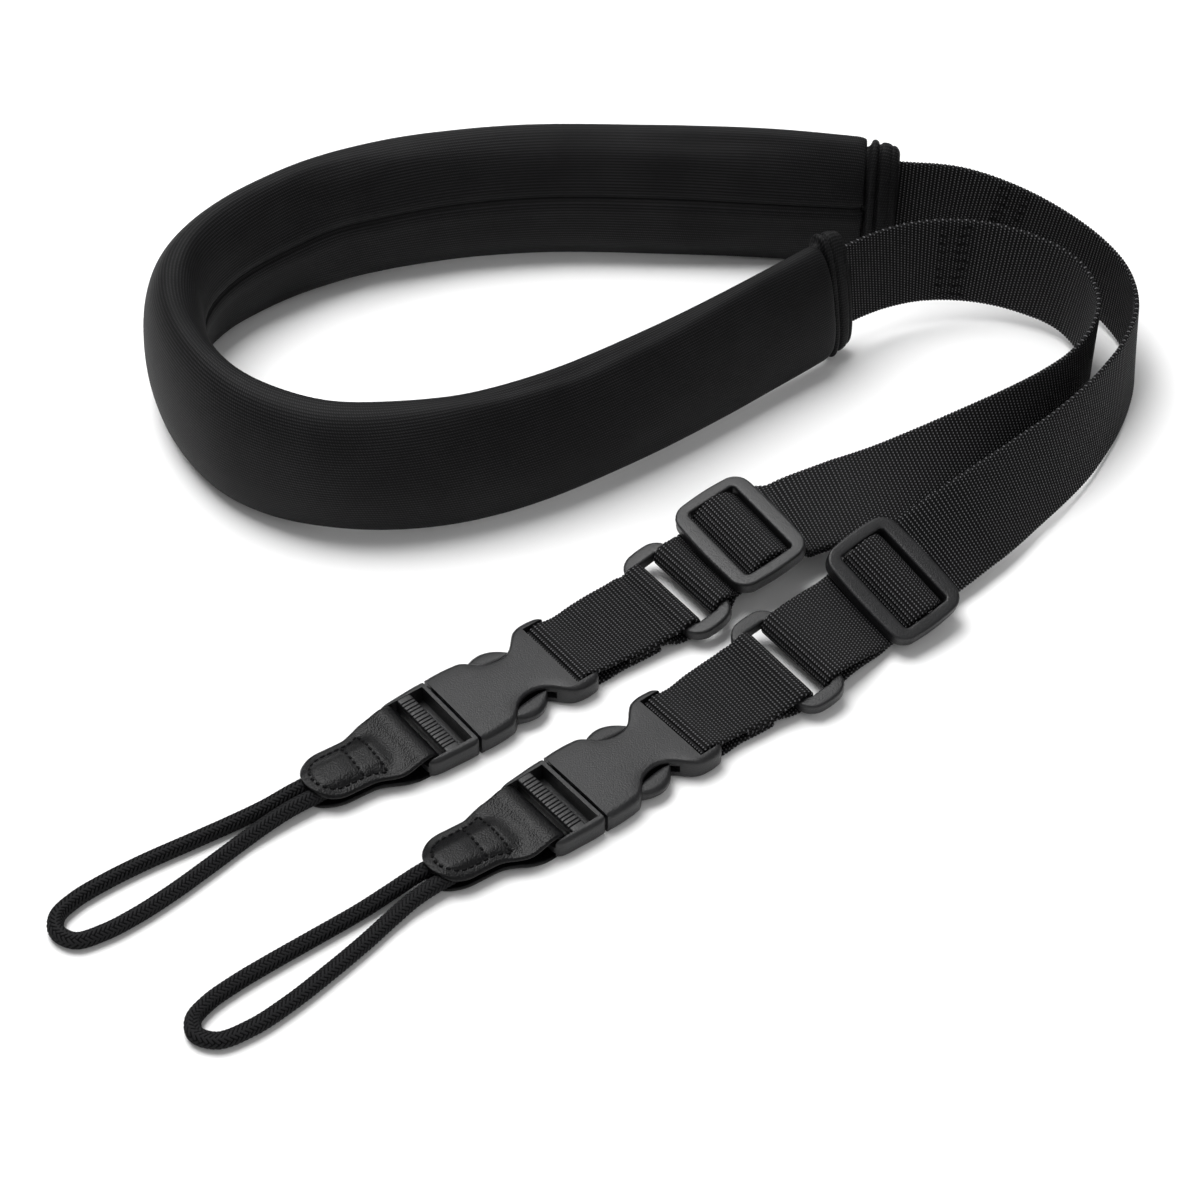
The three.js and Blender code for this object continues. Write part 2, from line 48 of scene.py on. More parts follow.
# ---- camera ----
cameraValues = {"place": (-12.5, -587.6, 558.6), "pitch": 45, "lens": 90, "sensor": 36}
cameraData = bpy.data.cameras.new("studioCamera")
cameraData.lens = cameraValues["lens"]
cameraData.sensor_width = cameraValues["sensor"]
camera = bpy.data.objects.new("studioCamera", cameraData)
camera.location = [c * mm for c in cameraValues["place"]]
camera.rotation_euler = (np.radians(cameraValues["pitch"]), 0, 0)
bpy.context.scene.collection.objects.link(camera)
bpy.context.scene.camera = camera


# ---- colours and nodes ----
def linearColour(hexText):
    # sRGB to linear: c / 12.92 up to 0.04045, and ((c + 0.055) / 1.055) to the power 2.4 above it
    parts = np.array([int(hexText[i:i + 2], 16) for i in (1, 3, 5)]) / 255
    linear = np.where(parts <= 0.04045, parts / 12.92, ((parts + 0.055) / 1.055) ** 2.4)
    return (*linear.tolist(), 1.0)


def addNode(tree, kind, inputs=None, out=0, **settings):
    # Adds one node and returns its output socket: inputs take a value or another node's output, and
    # settings are the node's own properties
    node = tree.nodes.new(kind)
    for name, value in settings.items():
        setattr(node, name, value)
    for name, value in (inputs or {}).items():
        if isinstance(value, bpy.types.NodeSocket):
            tree.links.new(value, node.inputs[name])
        else:
            node.inputs[name].default_value = value
    return node.outputs[out]


def startMaterial(name, roughness, ior, specular=0.5):
    material = bpy.data.materials.new(name)
    material.use_nodes = True
    tree = material.node_tree
    sockets = tree.nodes["Principled BSDF"].inputs
    sockets["Roughness"].default_value = roughness
    sockets["IOR"].default_value = ior
    sockets["Specular IOR Level"].default_value = specular
    return material, tree, sockets


def rampBetween(tree, factor, stops):
    colour = addNode(tree, "ShaderNodeValToRGB", {"Fac": factor})
    ramp = colour.node.color_ramp
    while len(ramp.elements) < len(stops):
        ramp.elements.new(0.5)
    for element, (place, colourText) in zip(ramp.elements, stops):
        element.position = place
        element.color = linearColour(colourText)
    return colour


def archesAlong(tree, phase):
    # A row of round arches, one per whole number: |sin(pi * phase)|
    turn = addNode(tree, "ShaderNodeMath", {0: phase, 1: np.pi}, operation="MULTIPLY")
    wave = addNode(tree, "ShaderNodeMath", {0: turn}, operation="SINE")
    return addNode(tree, "ShaderNodeMath", {0: wave}, operation="ABSOLUTE")


def finishMaterial(tree, sockets, colour, height=None, depth=0.0, strength=1.0):
    # The colour, and the height as bump of the given depth in millimetres, go to the shader
    tree.links.new(colour, sockets["Base Color"])
    if height is not None:
        settings = {"Height": height, "Distance": depth * mm, "Strength": strength}
        bump = addNode(tree, "ShaderNodeBump", settings)
        tree.links.new(bump, sockets["Normal"])


# ---- materials ----
def makeWovenNylon():
    # Nylon webbing, woven: raised cross ribs of twisted knots over near-black gaps; the colour follows the
    # height, with painted shade in the gaps and a painted highlight on the knot crests.
    # Its UV map is in millimetres: u along the webbing, v across it.
    values = {"rib": 1.06, "knot": 0.8, "slant": 0.3, "gap": "#010102", "body": "#060607",
              "crestHighlight": "#68686a", "depth": 0.18, "fibre": 0.12, "knotDepth": 0.62, "fibreWeight": 0.35}
    material, tree, sockets = startMaterial("wovenNylonWebbing", 0.6, 1.53, 0.13)
    uv = addNode(tree, "ShaderNodeUVMap", uv_map="cloth")
    along = addNode(tree, "ShaderNodeSeparateXYZ", {"Vector": uv})
    ribPhase = addNode(tree, "ShaderNodeMath", {0: along, 1: values["rib"]}, operation="DIVIDE")
    ribIndex = addNode(tree, "ShaderNodeMath", {0: ribPhase}, operation="FLOOR")
    ribPart = addNode(tree, "ShaderNodeMath", {0: ribPhase}, operation="FRACT")
    knotPhase = addNode(tree, "ShaderNodeMath", {0: along.node.outputs["Y"], 1: values["knot"]},
                        operation="DIVIDE")
    # every other rib's knots are half a knot along
    half = addNode(tree, "ShaderNodeMath", {0: ribIndex, 1: 0.5, 2: knotPhase}, operation="MULTIPLY_ADD")
    slanted = addNode(tree, "ShaderNodeMath", {0: ribPart, 1: values["slant"], 2: half},
                      operation="MULTIPLY_ADD")
    knots = addNode(tree, "ShaderNodeMath", {0: archesAlong(tree, slanted), 1: values["knotDepth"],
                                             2: 1 - values["knotDepth"]}, operation="MULTIPLY_ADD")
    lift = addNode(tree, "ShaderNodeMath", {0: archesAlong(tree, ribPart), 1: knots}, operation="MULTIPLY")
    fibre = addNode(tree, "ShaderNodeTexNoise", {"Vector": uv, "Scale": 1 / values["fibre"]})
    rough = addNode(tree, "ShaderNodeMath", {0: fibre, 1: values["fibreWeight"], 2: -0.17},
                    operation="MULTIPLY_ADD")
    height = addNode(tree, "ShaderNodeMath", {0: lift, 1: rough}, operation="ADD")
    # colour from the height: painted shade darkens the low gaps, a painted highlight lightens the raised
    # knots
    colour = rampBetween(tree, height, [(0.4, values["gap"]), (0.78, values["body"]),
                                        (1.06, values["crestHighlight"])])
    finishMaterial(tree, sockets, colour, height, values["depth"], 0.9)
    return material


def makeRibbedKnit():
    # Ribbed knit cover, heat-bonded over foam: fine raised ribs run along the pad, crossed by small stitches;
    # painted shade darkens the grooves and a painted highlight lightens the rib crests.
    values = {"rib": 0.84, "stitch": 0.66, "slant": 1.0, "gap": "#030304", "body": "#0b0b0c",
              "crestHighlight": "#272728", "depth": 0.05, "cloud": 16.67, "pick": 0.45, "stitchDepth": 0.72}
    material, tree, sockets = startMaterial("ribbedKnitCover", 0.62, 1.5, 0.13)
    uv = addNode(tree, "ShaderNodeUVMap", uv_map="cloth")
    along = addNode(tree, "ShaderNodeSeparateXYZ", {"Vector": uv})
    ribPhase = addNode(tree, "ShaderNodeMath", {0: along.node.outputs["Y"], 1: values["rib"]},
                       operation="DIVIDE")
    ribIndex = addNode(tree, "ShaderNodeMath", {0: ribPhase}, operation="FLOOR")
    stitchPhase = addNode(tree, "ShaderNodeMath", {0: along, 1: values["stitch"]}, operation="DIVIDE")
    stepped = addNode(tree, "ShaderNodeMath", {0: ribIndex, 1: 0.37, 2: stitchPhase},
                      operation="MULTIPLY_ADD")
    leaning = addNode(tree, "ShaderNodeMath", {0: ribPhase, 1: values["slant"], 2: stepped},
                      operation="MULTIPLY_ADD")
    stitches = addNode(tree, "ShaderNodeMath", {0: archesAlong(tree, leaning), 1: values["stitchDepth"],
                                                2: 1 - values["stitchDepth"]}, operation="MULTIPLY_ADD")
    lift = addNode(tree, "ShaderNodeMath", {0: archesAlong(tree, ribPhase), 1: stitches},
                   operation="MULTIPLY")
    place = addNode(tree, "ShaderNodeTexCoord", out="Object")
    cloud = addNode(tree, "ShaderNodeTexNoise", {"Vector": place, "Scale": 1 / (values["cloud"] * mm),
                                                 "Detail": 3.0})
    pick = addNode(tree, "ShaderNodeTexNoise", {"Vector": uv, "Scale": 1 / values["pick"], "Detail": 1.0})
    # two noises about zero, half weight each: soft clouds of tone and single paler stitches
    shade = addNode(tree, "ShaderNodeMath", {0: cloud, 1: 0.5, 2: -0.5}, operation="MULTIPLY_ADD")
    speck = addNode(tree, "ShaderNodeMath", {0: pick, 1: 0.5, 2: shade}, operation="MULTIPLY_ADD")
    tone = addNode(tree, "ShaderNodeMath", {0: lift, 1: speck}, operation="ADD")
    # colour from the rib height plus the random tone: painted shade in the grooves, painted highlight on the
    # crests
    colour = rampBetween(tree, tone, [(0.1, values["gap"]), (0.55, values["body"]), (1.0, values["crestHighlight"])])
    finishMaterial(tree, sockets, colour, lift, values["depth"], 0.8)
    return material


def makeMouldedAcetal():
    # Acetal, injection moulded in a spark-eroded tool: an even fine grain that softens every highlight
    values = {"dark": "#0e0e0f", "light": "#19191b", "grain": 0.42, "depth": 0.15, "cloud": 11.11}
    material, tree, sockets = startMaterial("mouldedAcetal", 0.42, 1.48, 0.4)
    place = addNode(tree, "ShaderNodeTexCoord", out="Object")
    grain = addNode(tree, "ShaderNodeTexNoise", {"Vector": place, "Scale": 1 / (values["grain"] * mm),
                                                 "Roughness": 0.6})
    cloud = addNode(tree, "ShaderNodeTexNoise", {"Vector": place, "Scale": 1 / (values["cloud"] * mm)})
    fine = addNode(tree, "ShaderNodeMath", {0: grain, 1: 0.6}, operation="MULTIPLY")
    both = addNode(tree, "ShaderNodeMath", {0: cloud, 1: 0.4, 2: fine}, operation="MULTIPLY_ADD")
    colour = rampBetween(tree, both, [(0.3, values["dark"]), (0.7, values["light"])])
    roughness = addNode(tree, "ShaderNodeMapRange", {"Value": grain, "To Min": 0.32, "To Max": 0.5})
    tree.links.new(roughness, sockets["Roughness"])
    finishMaterial(tree, sockets, colour, grain, values["depth"], 0.7)
    return material


def makeCoatedLeather():
    # Coated cowhide, pressed with a fine pebble grain: small cells and a dull sheen; the colour is painted
    # paler on the raised cells as a highlight and darker in the sunk grain and creases as shade
    values = {"dark": "#040405", "light": "#111112", "pebble": 0.45, "crease": 2.6, "depth": 0.1}
    material, tree, sockets = startMaterial("grainedLeather", 0.33, 1.5, 0.16)
    place = addNode(tree, "ShaderNodeTexCoord", out="Object")
    pebble = addNode(tree, "ShaderNodeTexVoronoi", {"Vector": place, "Scale": 1 / (values["pebble"] * mm)})
    crease = addNode(tree, "ShaderNodeTexNoise", {"Vector": place, "Scale": 1 / (values["crease"] * mm),
                                                  "Detail": 4.0})
    sunk = addNode(tree, "ShaderNodeMath", {0: crease, 1: 0.2, 2: pebble}, operation="MULTIPLY_ADD")
    # painted highlight on the raised cells, painted shade in the sunk grain and creases
    colour = rampBetween(tree, sunk, [(0.15, values["light"]), (0.75, values["dark"])])
    height = addNode(tree, "ShaderNodeMath", {0: 1.0, 1: sunk}, operation="SUBTRACT")
    finishMaterial(tree, sockets, colour, height, values["depth"], 0.8)
    return material


def makeBraidedPolyester():
    # Braided polyester sleeve: the strands are modelled; fibres run along each strand, and the colour follows
    # each strand's lift, a painted highlight where it lies on top and painted shade where it dips under
    values = {"low": "#000001", "high": "#222223", "fibre": 0.18}
    material, tree, sockets = startMaterial("braidedPolyester", 0.66, 1.55, 0.05)
    uv = addNode(tree, "ShaderNodeUVMap", uv_map="cloth")
    lift = addNode(tree, "ShaderNodeAttribute", out="Fac", attribute_name="strandLift")
    fibre = addNode(tree, "ShaderNodeTexNoise", {"Vector": uv, "Scale": 1 / values["fibre"]})
    # tone from the strand lift: painted highlight on the strands on top, painted shade on those below
    tone = addNode(tree, "ShaderNodeMath", {0: fibre, 1: 0.4, 2: lift}, operation="MULTIPLY_ADD")
    finishMaterial(tree, sockets, rampBetween(tree, tone, [(0.8, values["low"]), (1.25, values["high"])]))
    return material


def makeBondedThread():
    # Bonded nylon thread, black: a low twist with a small soft shine
    values = {"low": "#010102", "high": "#0a0a0b", "twist": 0.2}
    material, tree, sockets = startMaterial("bondedThread", 0.6, 1.53, 0.1)
    place = addNode(tree, "ShaderNodeTexCoord", out="Object")
    twist = addNode(tree, "ShaderNodeTexNoise", {"Vector": place, "Scale": 1 / (values["twist"] * mm)})
    finishMaterial(tree, sockets, rampBetween(tree, twist, [(0.35, values["low"]), (0.7, values["high"])]))
    return material


def makeStudioFloor():
    # Matt white paint on board: almost white, with no gloss
    values = {"low": "#f6f6f6", "high": "#f8f8f8", "mottle": 333.3}
    material, tree, sockets = startMaterial("mattWhiteBoard", 0.9, 1.5)
    place = addNode(tree, "ShaderNodeTexCoord", out="Object")
    mottle = addNode(tree, "ShaderNodeTexNoise", {"Vector": place, "Scale": 1 / (values["mottle"] * mm)})
    finishMaterial(tree, sockets, rampBetween(tree, mottle, [(0.3, values["low"]), (0.7, values["high"])]))
    return material


wovenNylon = makeWovenNylon()
ribbedKnit = makeRibbedKnit()
mouldedAcetal = makeMouldedAcetal()
grainedLeather = makeCoatedLeather()
braidedPolyester = makeBraidedPolyester()
bondedThread = makeBondedThread()
studioFloor = makeStudioFloor()
print("materials made")


# ---- lines and tables ----
def unit(vectors):
    return vectors / np.linalg.norm(vectors, axis=-1, keepdims=True)


def runAlong(points):
    # Distance along a line of points, from 0 at the first
    return np.concatenate([[0], np.cumsum(np.linalg.norm(np.diff(points, axis=0), axis=1))])


def rowsAt(at, run, rows):
    # A table's rows read at distances along it, straight between its own rows
    return np.stack([np.interp(at, run, column) for column in rows.T], -1)


def eased(share):
    # Smooth step: 3 t^2 - 2 t^3 between 0 and 1
    t = np.clip(share, 0, 1)
    return t * t * (3 - 2 * t)


def squaredTurn(count, widthPower, heightPower):
    # A circle squared towards a box: signed powers of its cosine and its sine
    turn = 2 * np.pi * np.arange(count) / count
    wide, tall = np.cos(turn), np.sin(turn)
    return np.sign(wide) * np.abs(wide) ** widthPower, np.sign(tall) * np.abs(tall) ** heightPower


def splineThrough(points, perSegment):
    # Centripetal Catmull-Rom spline: knots a square root of the distance apart, end points mirrored.
    # The first three columns are the place and set the knots; any further columns follow along.
    points = np.asarray(points, float)
    padded = np.vstack([2 * points[0] - points[1], points, 2 * points[-1] - points[-2]])
    spans = np.maximum(np.linalg.norm(np.diff(padded[:, :3], axis=0), axis=1) ** 0.5, 1e-6)[:, None]
    a, b, c, d = padded[:-3], padded[1:-2], padded[2:-1], padded[3:]
    before, here, after = spans[:-2], spans[1:-1], spans[2:]
    leave = here * ((b - a) / before - (c - a) / (before + here) + (c - b) / here)
    arrive = here * ((c - b) / here - (d - b) / (here + after) + (d - c) / after)
    t = (np.arange(perSegment) / perSegment)[None, :, None]
    b, c, leave, arrive = (x[:, None, :] for x in (b, c, leave, arrive))
    curve = (b + leave * t + (3 * (c - b) - 2 * leave - arrive) * t ** 2
             + (2 * (b - c) + leave + arrive) * t ** 3)
    return np.vstack([curve.reshape(-1, points.shape[1]), points[-1:]])


# ---- mesh building ----
slotOf = {wovenNylon: "webbing", ribbedKnit: "pad_cover", mouldedAcetal: "moulded_plastic",
          grainedLeather: "leather", braidedPolyester: "braid"}


def pieceFrom(name, vertices, faces, material, slot=None, node=None, smooth=True):
    # Puts the arrays into a mesh; with a slot, it is parented to the root body, and with a node, that CAD
    # node is hidden
    mesh = bpy.data.meshes.new(name)
    mesh.from_pydata(vertices.tolist(), [], [list(map(int, face)) for face in faces])
    mesh.polygons.foreach_set("use_smooth", np.full(len(mesh.polygons), smooth))
    mesh.materials.append(material)
    piece = bpy.data.objects.new(name, mesh)
    bpy.context.scene.collection.objects.link(piece)
    if slot:
        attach(piece, "root")
    if node:
        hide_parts(node)
    return piece


def gridFaces(rows, columns, closedRows=False):
    # Quads between neighbouring rows and columns; columns always close, rows close or end in a centre point
    i, j = np.meshgrid(np.arange(rows if closedRows else rows - 1), np.arange(columns), indexing="ij")
    nextRow, nextColumn = (i + 1) % rows, (j + 1) % columns
    quads = np.stack([i * columns + j, i * columns + nextColumn, nextRow * columns + nextColumn,
                      nextRow * columns + j], -1).reshape(-1, 4)
    if closedRows:
        return quads, np.empty((0, 3), int)
    ring = np.arange(columns)
    following, top = (ring + 1) % columns, (rows - 1) * columns
    first = np.stack([np.full(columns, rows * columns), following, ring], -1)
    last = np.stack([np.full(columns, rows * columns + 1), top + ring, top + following], -1)
    return quads, np.vstack([first, last])


def gridPiece(name, points, material, node=None, uv=None, closedRows=False, lift=None):
    # points[row, column] is a closed skin; it is turned to face outwards by the sign of its volume, the sum
    # of a . (b x c) over its triangles. uv[row, column] has one column more than the points, so that the
    # pattern doesn't run back at the join.
    rows, columns = points.shape[:2]
    quads, fans = gridFaces(rows, columns, closedRows)
    vertices = points.reshape(-1, 3)
    if not closedRows:
        vertices = np.vstack([vertices, points[[0, -1]].mean(1)])
    triangles = np.vstack([quads[:, :3], quads[:, [0, 2, 3]], fans])
    a, b, c = ((vertices - vertices.mean(0))[triangles[:, k]] for k in range(3))
    order = slice(None) if (a * np.cross(b, c)).sum() > 0 else slice(None, None, -1)
    faces = [face[order] for face in quads] + [face[order] for face in fans]
    piece = pieceFrom(name, vertices, faces, material, slotOf[material] if node else None, node)
    if uv is not None:
        i, j = np.meshgrid(np.arange(rows if closedRows else rows - 1), np.arange(columns), indexing="ij")
        corners = np.stack([uv[i, j], uv[i, j + 1], uv[(i + 1) % rows, j + 1], uv[(i + 1) % rows, j]], 2)
        flat = corners.reshape(-1, 4, 2)[:, order].reshape(-1, 2)
        if not closedRows:
            ring = np.arange(columns)
            first = np.stack([uv[0, :columns].mean(0) + 0 * uv[0, ring], uv[0, ring + 1], uv[0, ring]], 1)
            last = np.stack([uv[-1, :columns].mean(0) + 0 * uv[-1, ring], uv[-1, ring], uv[-1, ring + 1]], 1)
            flat = np.vstack([flat, np.vstack([first, last])[:, order].reshape(-1, 2)])
        piece.data.uv_layers.new(name="cloth").data.foreach_set("uv", flat.ravel())
    if lift is not None:
        layer = piece.data.attributes.new("strandLift", "FLOAT", "POINT")
        layer.data.foreach_set("value", np.append(lift.ravel(), [0.5, 0.5]))
    return piece


# ---- CAD solids read back ----
def weldedNode(node):
    # A CAD node's corners and triangles, with the corners that lie together made one
    work = bmesh.new()
    work.from_mesh(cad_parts[node].data)
    bmesh.ops.remove_doubles(work, verts=work.verts, dist=1e-6)
    work.verts.index_update()
    points = np.array([v.co for v in work.verts])
    triangles = np.array([[v.index for v in face.verts] for face in work.faces])
    work.free()
    return points, triangles


def centreOf(node):
    low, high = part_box(node)
    return np.array(low + high) / 2


def readRings(node, startNear):
    # Peels a CAD skin into its rings of corners, from the end nearest startNear. A ring's corners touch only
    # the rings before and after it, and only in the two end rings do they not have six neighbours each.
    points, triangles = weldedNode(node)
    touching = [set() for _ in points]
    for a, b, c in triangles.tolist():
        touching[a] |= {b, c}
        touching[b] |= {a, c}
        touching[c] |= {a, b}
    ends = {i for i, others in enumerate(touching) if len(others) != 6}
    start = min(ends, key=lambda i: np.linalg.norm(points[i] - startNear))
    ring, grown = set(), {start}
    while grown:
        ring |= grown
        grown = set().union(*(touching[i] for i in grown)) & ends - ring
    rings, seen = [], set()
    while ring:
        rings.append(ring)
        seen |= ring
        ring = set().union(*(touching[i] for i in ring)) - seen
    walk = [min(rings[1])]
    while len(walk) < len(rings[1]):
        walk.append(min((touching[walk[-1]] & rings[1]) - set(walk)))

    def follow(line, ring, turned=None):
        # Neighbours along a ring share one corner of the next ring; it belongs to the nearer of the two
        shared = [min(touching[a] & touching[b] & ring) for a, b in zip(line, line[-1:] + line[:-1])]
        rolled = shared[1:] + shared[:1]
        if turned is None:
            away = [np.linalg.norm(points[line] - points[choice], axis=1).sum()
                    for choice in (shared, rolled)]
            turned = away[1] < away[0]
        return (rolled if turned else shared), turned

    ordered, turned = [follow(walk, rings[0])[0], walk], None
    for ring in rings[2:]:
        line, turned = follow(ordered[-1], ring, turned)
        ordered.append(line)
    return points[np.array(ordered)]


# ---- ribbons: webbing and leather follow the CAD band's middle line ----
def readRibbon(node, startNear, upAtEnd):
    # Middle, left, normal and half width of each ring of four corners. upAtEnd picks the row (0 or -1)
    # where the normal points up. The left direction is averaged along the band, weight exp(-(d / reach)^2).
    reach = 6 * mm
    rings = readRings(node, startNear)
    if np.linalg.norm(rings[1, 0] - rings[1, 1]) < np.linalg.norm(rings[1, 1] - rings[1, 2]):
        rings = np.roll(rings, 1, axis=1)
    across = (rings[:, 0] + rings[:, 3] - rings[:, 1] - rings[:, 2]) / 2
    normal = unit(rings[:, 0] + rings[:, 1] - rings[:, 2] - rings[:, 3])
    half = np.linalg.norm(across, axis=1, keepdims=True) / 2
    if normal[upAtEnd, 2] < 0:
        normal, across = -normal, -across
    dense = splineThrough(np.hstack([rings.mean(1), unit(across), normal, half]), 12)
    at = runAlong(dense[:, :3])
    share = np.exp(-((at[:, None] - at[None]) / reach) ** 2) * np.gradient(at)[None]
    dense[:, 3:6] = unit(share @ dense[:, 3:6])
    return {"at": at, "rows": dense, "length": at[-1]}


def alongRibbon(ribbon, at):
    # Values at distances along the ribbon, carried on straight past either end
    inside = np.clip(at, 0, ribbon["length"])
    values = rowsAt(inside, ribbon["at"], ribbon["rows"])
    middle, left, normal, half = values[..., :3], values[..., 3:6], values[..., 6:9], values[..., 9]
    step = 0.3 * mm
    ahead, behind = (rowsAt(np.clip(inside + shift, 0, ribbon["length"]), ribbon["at"], ribbon["rows"][:, :3])
                     for shift in (step, -step))
    way = unit(ahead - behind)
    upright = unit(np.cross(way, left))
    normal = upright * np.sign((upright * normal).sum(-1, keepdims=True))
    return middle + way * (at - inside)[..., None], way, left, normal, half


def flatSection(flatCount, edgeCount):
    # Round-edged strip section as three arrays: share of the flat half width, share of the edge radius
    # outwards, and share of the half thickness. Top from left to right, edge, bottom back, edge.
    top = np.linspace(1, -1, flatCount)
    turn = np.linspace(0, np.pi, edgeCount + 2)[1:-1]
    flat = np.concatenate([top, np.full(edgeCount, -1.0), -top, np.full(edgeCount, 1.0)])
    out = np.concatenate([0 * top, -np.sin(turn), 0 * top, np.sin(turn)])
    height = np.concatenate([0 * top + 1, np.cos(turn), 0 * top - 1, -np.cos(turn)])
    return flat, out, height


def makeWebbing(name, node, startNear, extend):
    # Band with cross ribs: thickness grows by relief * |sin(pi * distance / pitch)|, and so do the two edges
    values = {"pitch": 1.06, "perRib": 4, "thick": 1.3, "relief": 0.2, "scallop": 0.1, "across": 27,
              "edge": 3}
    ribbon = readRibbon(node, startNear, 0)
    at = np.arange(0, ribbon["length"] + extend * mm, values["pitch"] * mm / values["perRib"])
    middle, _, left, normal, half = alongRibbon(ribbon, at)
    flat, out, height = flatSection(values["across"], values["edge"])
    rib = np.abs(np.sin(np.pi * at / (values["pitch"] * mm)))[:, None]
    radius = (values["thick"] / 2 + values["relief"] * (rib - 0.5)) * mm
    scallop = values["scallop"] * (rib - 0.5) * mm
    reach = flat * (half[:, None] - values["thick"] / 2 * mm) + out * (radius + scallop)
    points = (middle[:, None] + left[:, None] * reach[..., None]
              + normal[:, None] * (height * radius)[..., None])
    across = np.concatenate([reach, reach[:, :1]], axis=1)
    uv = np.stack([np.broadcast_to(at[:, None], across.shape), across], -1) / mm
    gridPiece(name, points, wovenNylon, node, uv=uv)
    return ribbon


# ---- cords: they leave the leather tabs and come back into them ----
layCentre = np.array([12.5, 29, 0])
cordRoutes = {
    "near": [
        (-33, -88.7, 3.45), (-38, -92.2, 3.45), (-43.5, -96.2, 3.4), (-50, -101.2, 2.6),
        (-57, -106.8, 2.1), (-68, -115.2, 2.1), (-77, -122, 2.1), (-85, -128.4, 2.1), (-90.8, -134, 2.1),
        (-93.6, -138.8, 2.1), (-92.6, -142.9, 2.1), (-87.4, -144.6, 2.1), (-80, -141, 2.1),
        (-72, -134.2, 2.1), (-63, -124.8, 2.1), (-55.2, -116, 2.1), (-49, -108.6, 2.3),
        (-44.4, -103.8, 2.9), (-39.6, -99.9, 3.4), (-35, -96.6, 3.45), (-30.5, -93.4, 3.45)],
    "far": [
        (-64.5, -62.4, 3.45), (-70, -66.2, 3.45), (-75.5, -70.1, 3.4), (-82, -74.5, 2.6),
        (-88.5, -78.4, 2.1), (-98.5, -84.6, 2.1), (-110, -91.6, 2.1), (-118.6, -97.6, 2.1),
        (-125.4, -103.4, 2.1), (-128.8, -108.4, 2.1), (-128.2, -113, 2.1), (-123.6, -115.6, 2.1),
        (-117, -113, 2.1), (-110, -108, 2.1), (-102, -100.8, 2.1), (-93.8, -92.4, 2.1),
        (-86.6, -84.8, 2.1), (-81, -79.8, 2.8), (-75.4, -75.4, 3.4), (-70, -71.6, 3.45), (-64, -67.6, 3.45)],
}


def makeCord(side):
    # Tube with a two-over-two braid: two families of helices, u and v, cross; the one on top in each cell
    # stands up by a rounded strand profile, sqrt(1 - (2 frac - 1)^2), the other lies lower.
    values = {"diameter": 4, "strands": 10, "lay": 1.2, "around": 60, "step": 0.2, "relief": 0.42}
    line = splineThrough((np.array(cordRoutes[side]) - layCentre) * mm, 30)
    along = runAlong(line)
    count = int(round(along[-1] / (values["step"] * mm)))
    at = np.linspace(0, along[-1], count + 1)
    centre = rowsAt(at, along, line)
    way = unit(np.gradient(centre, axis=0))
    left = unit(np.cross([0, 0, 1], way))
    up = np.cross(way, left)
    turn = 2 * np.pi * np.arange(values["around"] + 1) / values["around"]
    ringwise, lengthwise = values["strands"] * turn[None] / (2 * np.pi), at[:, None] / (values["lay"] * mm)
    u, v = ringwise + lengthwise, ringwise - lengthwise
    strand = np.where((np.floor(u) + np.floor(v)) % 4 < 2, u % 1, v % 1)
    lift = np.sqrt(np.clip(1 - (2 * strand - 1) ** 2, 0, 1))
    radius = (values["diameter"] / 2 + values["relief"] * (lift - 0.75)) * mm
    points = (centre[:, None] + (left[:, None] * np.cos(turn)[None, :, None]
                                 + up[:, None] * np.sin(turn)[None, :, None]) * radius[..., None])
    uv = np.stack(np.broadcast_arrays(at[:, None] / mm, turn[None] * values["diameter"] / 2), -1)
    # the strand lift is kept as an attribute, which the braid material turns into painted highlight and
    # painted shade
    piece = gridPiece(f"cordLoop_{side}", points[:, :-1], braidedPolyester, f"cord_loop_{side}",
                      uv=uv, lift=lift[:, :-1])
    print(f"cord {side}: {along[-1]:.4f} m")


strapRibbons, loopRibbons = {}, {}
for side in sides:
    makeCord(side)
for side in sides:
    strapRibbons[side] = makeWebbing(f"strap_{side}_webbing", f"strap_{side}", centreOf(f"slider_{side}"), 5)
    loopRibbons[side] = makeWebbing(f"buckleLoop_{side}_webbing", f"buckle_loop_{side}",
                                    centreOf(f"ring_{side}"), 0)
print("webbing made")


# ---- moulded pieces, in their own frames: forward along the strap, left, up ----
def solidFrame(kind, side):
    # A moulded solid is the same on both sides of its planes, so its axes are those of its surface's spread.
    # Triangle spread: area / 12 * (a a' + b b' + c c' + 9 m m'), with m the triangle's middle.
    points, triangles = weldedNode(f"{kind}_{side}")
    corners = points[triangles]
    areas = np.linalg.norm(np.cross(corners[:, 1] - corners[:, 0], corners[:, 2] - corners[:, 0]), axis=1) / 2
    middle = (corners.mean(1) * areas[:, None]).sum(0) / areas.sum()
    away = corners - middle
    weights = areas[:, None, None] / 12
    spread = (np.einsum("nki,nkj->nij", away, away) * weights).sum(0)
    spread += (9 * np.einsum("ni,nj->nij", away.mean(1), away.mean(1)) * weights).sum(0)
    thin, short, long = np.linalg.eigh(spread)[1].T
    up = thin * np.sign(thin[2])
    aim = middle - centreOf(f"leather_tab_{side}")
    forward = short if abs(short @ unit(aim)) > abs(long @ unit(aim)) else long
    forward = forward * np.sign(forward @ aim)
    axes = np.stack([forward, np.cross(up, forward), up])
    reach = (points - middle) @ axes.T
    halfSize = np.ptp(reach, axis=0) / 2
    return {"origin": middle + (reach.min(0) + halfSize) @ axes, "axes": axes, "halfSize": halfSize}


def placed(place, local):
    # Local millimetres (along, left, up) to metres in the frame
    return place["origin"] + local * mm @ place["axes"]


def mouldedPiece(name, place, local, node, closedRows=False):
    return gridPiece(name, placed(place, local), mouldedAcetal, node, closedRows=closedRows)


